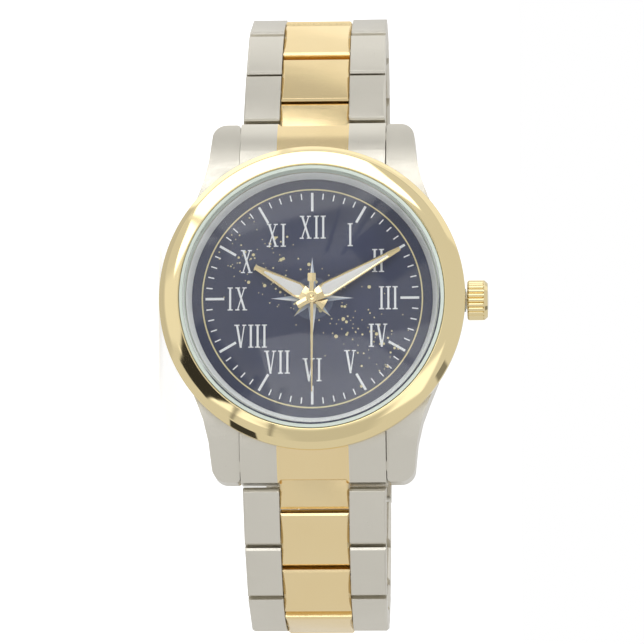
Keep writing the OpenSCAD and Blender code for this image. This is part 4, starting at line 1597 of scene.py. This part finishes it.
@dataclass
class Studio:
    """Floor, lamps, world and camera.

    Attributes:
        sideways: Camera's angle towards 6 o'clock, in degrees.
        upwards: Camera's angle towards 3 o'clock, in degrees.
        distance: Camera's distance in metres.
        span: Width of the picture at the dial, in millimetres.
        target: Point at the picture's middle, in the watch's frame.
        fill: Brightness of the sky as light on the watch.
        glow: Brightness that the floor adds where it is seen.
        room: Half width of the floor in metres.
        reach: Distance of the lamps in metres.
        sensor: Width of the camera's sensor in millimetres.
    """

    sideways: float = 8.5
    upwards: float = 3.0
    distance: float = 0.75
    span: float = 88.2
    target: tuple[float, float, float] = (1.34, -3.29, 7.6)
    fill: float = 0.75
    glow: float = 0.55
    room: float = 3.0
    reach: float = 0.6
    sensor: float = 36

    def back(self) -> Vector:
        """Direction from the watch to the camera."""
        a, e = math.radians(self.sideways), math.radians(self.upwards)
        return Vector((math.sin(a) * math.cos(e), -math.cos(a) * math.cos(e), math.sin(e)))

    def camera(self) -> None:
        """Sets the camera at the photograph's angle, with 12 o'clock up."""
        back = self.back()
        right = Vector((-1, 0, 0)).cross(back).normalized()
        up = back.cross(right)
        place = STAND @ Vector(self.target) + back * self.distance
        data = bpy.data.cameras.new("camera")
        data.sensor_width = self.sensor
        data.lens = self.sensor * self.distance / (self.span * MM)
        data.clip_start = 0.01
        data.clip_end = 20
        camera = bpy.data.objects.new("camera", data)
        camera.matrix_world = Matrix.Translation(place) @ Matrix((right, up, back)).transposed().to_4x4()
        bpy.context.scene.collection.objects.link(camera)
        bpy.context.scene.camera = camera

    def floor(self, cards: Tree) -> None:
        """Lays a pale floor that looks white and keeps the watch's shadow.

        Metal doesn't see it, and through the crystal metal sees the cards in its place.

        Args:
            cards: Brightness of the studio by direction.
        """
        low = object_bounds()[0][2]
        size = self.room
        mesh = bpy.data.meshes.new("floor")
        mesh.from_pydata([(-size, -size, low), (size, -size, low), (size, size, low), (-size, size, low)], [],
                         [(0, 1, 2, 3)])
        material = bpy.data.materials.new("floor")
        material.use_nodes = True
        tree = material.node_tree
        tree.nodes.remove(tree.nodes["Principled BSDF"])
        desk = Desk(tree)
        path = desk.add("ShaderNodeLightPath").outputs
        seen = desk.math("MAXIMUM", path["Is Camera Ray"], desk.math(
            "MAXIMUM", path["Is Glossy Ray"], path["Is Transmission Ray"]))
        paint = desk.add("ShaderNodeBsdfDiffuse", {"Color": (0.8, 0.8, 0.8, 1)})
        glow = desk.add("ShaderNodeEmission", {
            "Color": (1, 1, 1, 1), "Strength": desk.math("MULTIPLY", seen, self.glow)})
        both = desk.add("ShaderNodeAddShader", {0: paint.outputs[0], 1: glow.outputs[0]})
        studio = desk.shared(cards, Vector=desk.add("ShaderNodeTexCoord").outputs["Object"])
        shown = desk.add("ShaderNodeEmission", {"Color": (1, 1, 1, 1), "Strength": studio["Level"]})
        whole = desk.add("ShaderNodeMixShader", {
            0: self.in_metal(desk, path), 1: both.outputs[0], 2: shown.outputs[0]})
        desk.fill(tree.nodes["Material Output"], {"Surface": whole.outputs[0]})
        mesh.materials.append(material)
        plane = bpy.data.objects.new("floor", mesh)
        plane.visible_glossy = False
        bpy.context.scene.collection.objects.link(plane)
        plane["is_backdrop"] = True

    def lamp(self, name: str, towards: Sequence[float], power: float, size: float) -> None:
        """Hangs a square soft lamp that gloss and glass don't show.

        Args:
            name: The lamp's name.
            towards: Direction of the lamp from the watch.
            power: Its power in watts.
            size: Its side in metres.
        """
        data = bpy.data.lights.new(name, "AREA")
        data.energy = power
        data.size = size
        lamp = bpy.data.objects.new(name, data)
        back = Vector(towards).normalized()
        turn = back.to_track_quat("Z", "Y").to_matrix().to_4x4()
        lamp.matrix_world = Matrix.Translation(back * self.reach) @ turn
        lamp.visible_glossy = False
        lamp.visible_transmission = False
        bpy.context.scene.collection.objects.link(lamp)

    def cards(self) -> Tree:
        """Brightness of the studio by direction, as metal sees it.

        Returns:
            The group.
        """
        mirror = self.back().reflect(Vector((0, 1, 0))) * -1
        up = Vector((-1, 0, 0)).cross(mirror).cross(mirror).normalized() * -1
        right = up.cross(mirror)

        def build(desk: Desk, start: Node) -> dict[str, Socket]:
            """Fills the tree.

            Args:
                desk: The tree's desk.
                start: The node of its inputs.

            Returns:
                The socket of each output by name.
            """
            given = start.outputs["Vector"]
            ray = desk.add("ShaderNodeVectorMath", {0: given}, operation="NORMALIZE").outputs[0]
            level: object = PLAIN_SKY
            for card in CARDS:
                turn, off = math.radians(card.clock), math.radians(card.off)
                away = up * math.cos(turn) + right * math.sin(turn)
                middle = mirror * math.cos(off) + away * math.sin(off)
                outwards = away * math.cos(off) - mirror * math.sin(off)
                mask = desk.math("GREATER_THAN", self.along(desk, ray, middle), 0.0)
                for axis, half in ((outwards, card.out), (middle.cross(outwards), card.along)):
                    near, far = (math.sin(math.radians(half + k * card.soft / 2)) for k in (-1, 1))
                    edge = desk.ramp(desk.math("ABSOLUTE", self.along(desk, ray, axis)), near, far, 1.0, 0.0,
                                     "SMOOTHSTEP")
                    mask = desk.math("MULTIPLY", mask, edge)
                level = desk.math("MULTIPLY_ADD", desk.math("SUBTRACT", card.shade, level), mask, level)
            return {"Level": level}

        return group("studio cards", {"Vector": ("Vector", None)}, {"Level": "Float"}, build)

    def along(self, desk: Desk, ray: Socket, axis: Vector) -> Socket:
        """How far a ray goes along an axis."""
        return desk.add("ShaderNodeVectorMath", {0: ray, 1: axis}, operation="DOT_PRODUCT").outputs["Value"]

    def in_metal(self, desk: Desk, path: bpy.types.bpy_prop_collection) -> Socket:
        """Mask of the rays that show a reflection, also where they left through the crystal.

        Args:
            desk: The tree's desk.
            path: Outputs of its Light Path node.

        Returns:
            The mask.
        """
        shiny = desk.math("GREATER_THAN", path["Glossy Depth"], 0.5)
        clear = desk.math("LESS_THAN", path["Diffuse Depth"], 0.5)
        through = desk.math("MULTIPLY", desk.math("MULTIPLY", shiny, clear), path["Is Transmission Ray"])
        return desk.math("MAXIMUM", path["Is Glossy Ray"], through)

    def world(self, cards: Tree) -> None:
        """Makes the sky: white to the camera, plain light to matter, the studio's cards to metal.

        Args:
            cards: Brightness of the studio by direction.
        """
        world = bpy.data.worlds.new("studio")
        world.use_nodes = True
        bpy.context.scene.world = world
        desk = Desk(world.node_tree)
        path = desk.add("ShaderNodeLightPath").outputs
        seen = desk.shared(cards, Vector=desk.add("ShaderNodeTexCoord").outputs["Generated"])
        straight = desk.math("MAXIMUM", path["Is Camera Ray"], path["Is Transmission Ray"])
        level = desk.math("MULTIPLY_ADD", straight, 1.0 - self.fill, self.fill)
        through = desk.math("GREATER_THAN", path["Diffuse Depth"], 0.5)
        lit = desk.math("MULTIPLY", path["Is Transmission Ray"], through)
        level = desk.math("MULTIPLY", level, desk.math("SUBTRACT", 1.0, lit))
        sky = desk.mix(self.in_metal(desk, path), level, seen["Level"])
        desk.fill(world.node_tree.nodes["Background"], {"Color": sky})

    def build(self) -> None:
        """Sets the stage."""
        self.camera()
        cards = self.cards()
        self.floor(cards)
        self.world(cards)
        for name, towards, power, size in (
                ("lamp_12", (-1.0, -0.6, 0.25), 2.4, 0.45), ("lamp_6", (0.8, -1.0, 0.5), 0.35, 0.35),
                ("lamp_back", (0.1, 1.0, 0.7), 0.6, 0.5)):
            self.lamp(name, towards, power, size)
        bpy.context.scene.view_settings.view_transform = "Standard"


def main() -> None:
    """Builds the watch and its studio."""
    logging.basicConfig(level=logging.INFO, format="%(name)s: %(message)s")
    finishes = Finishes()
    Studio().build()
    for part in (Case(finishes), Dial(finishes), Hands(finishes), Crown(finishes), Bracelet(finishes),
                 Movement(finishes)):
        part.build()


if __name__ == "__main__":
    main()
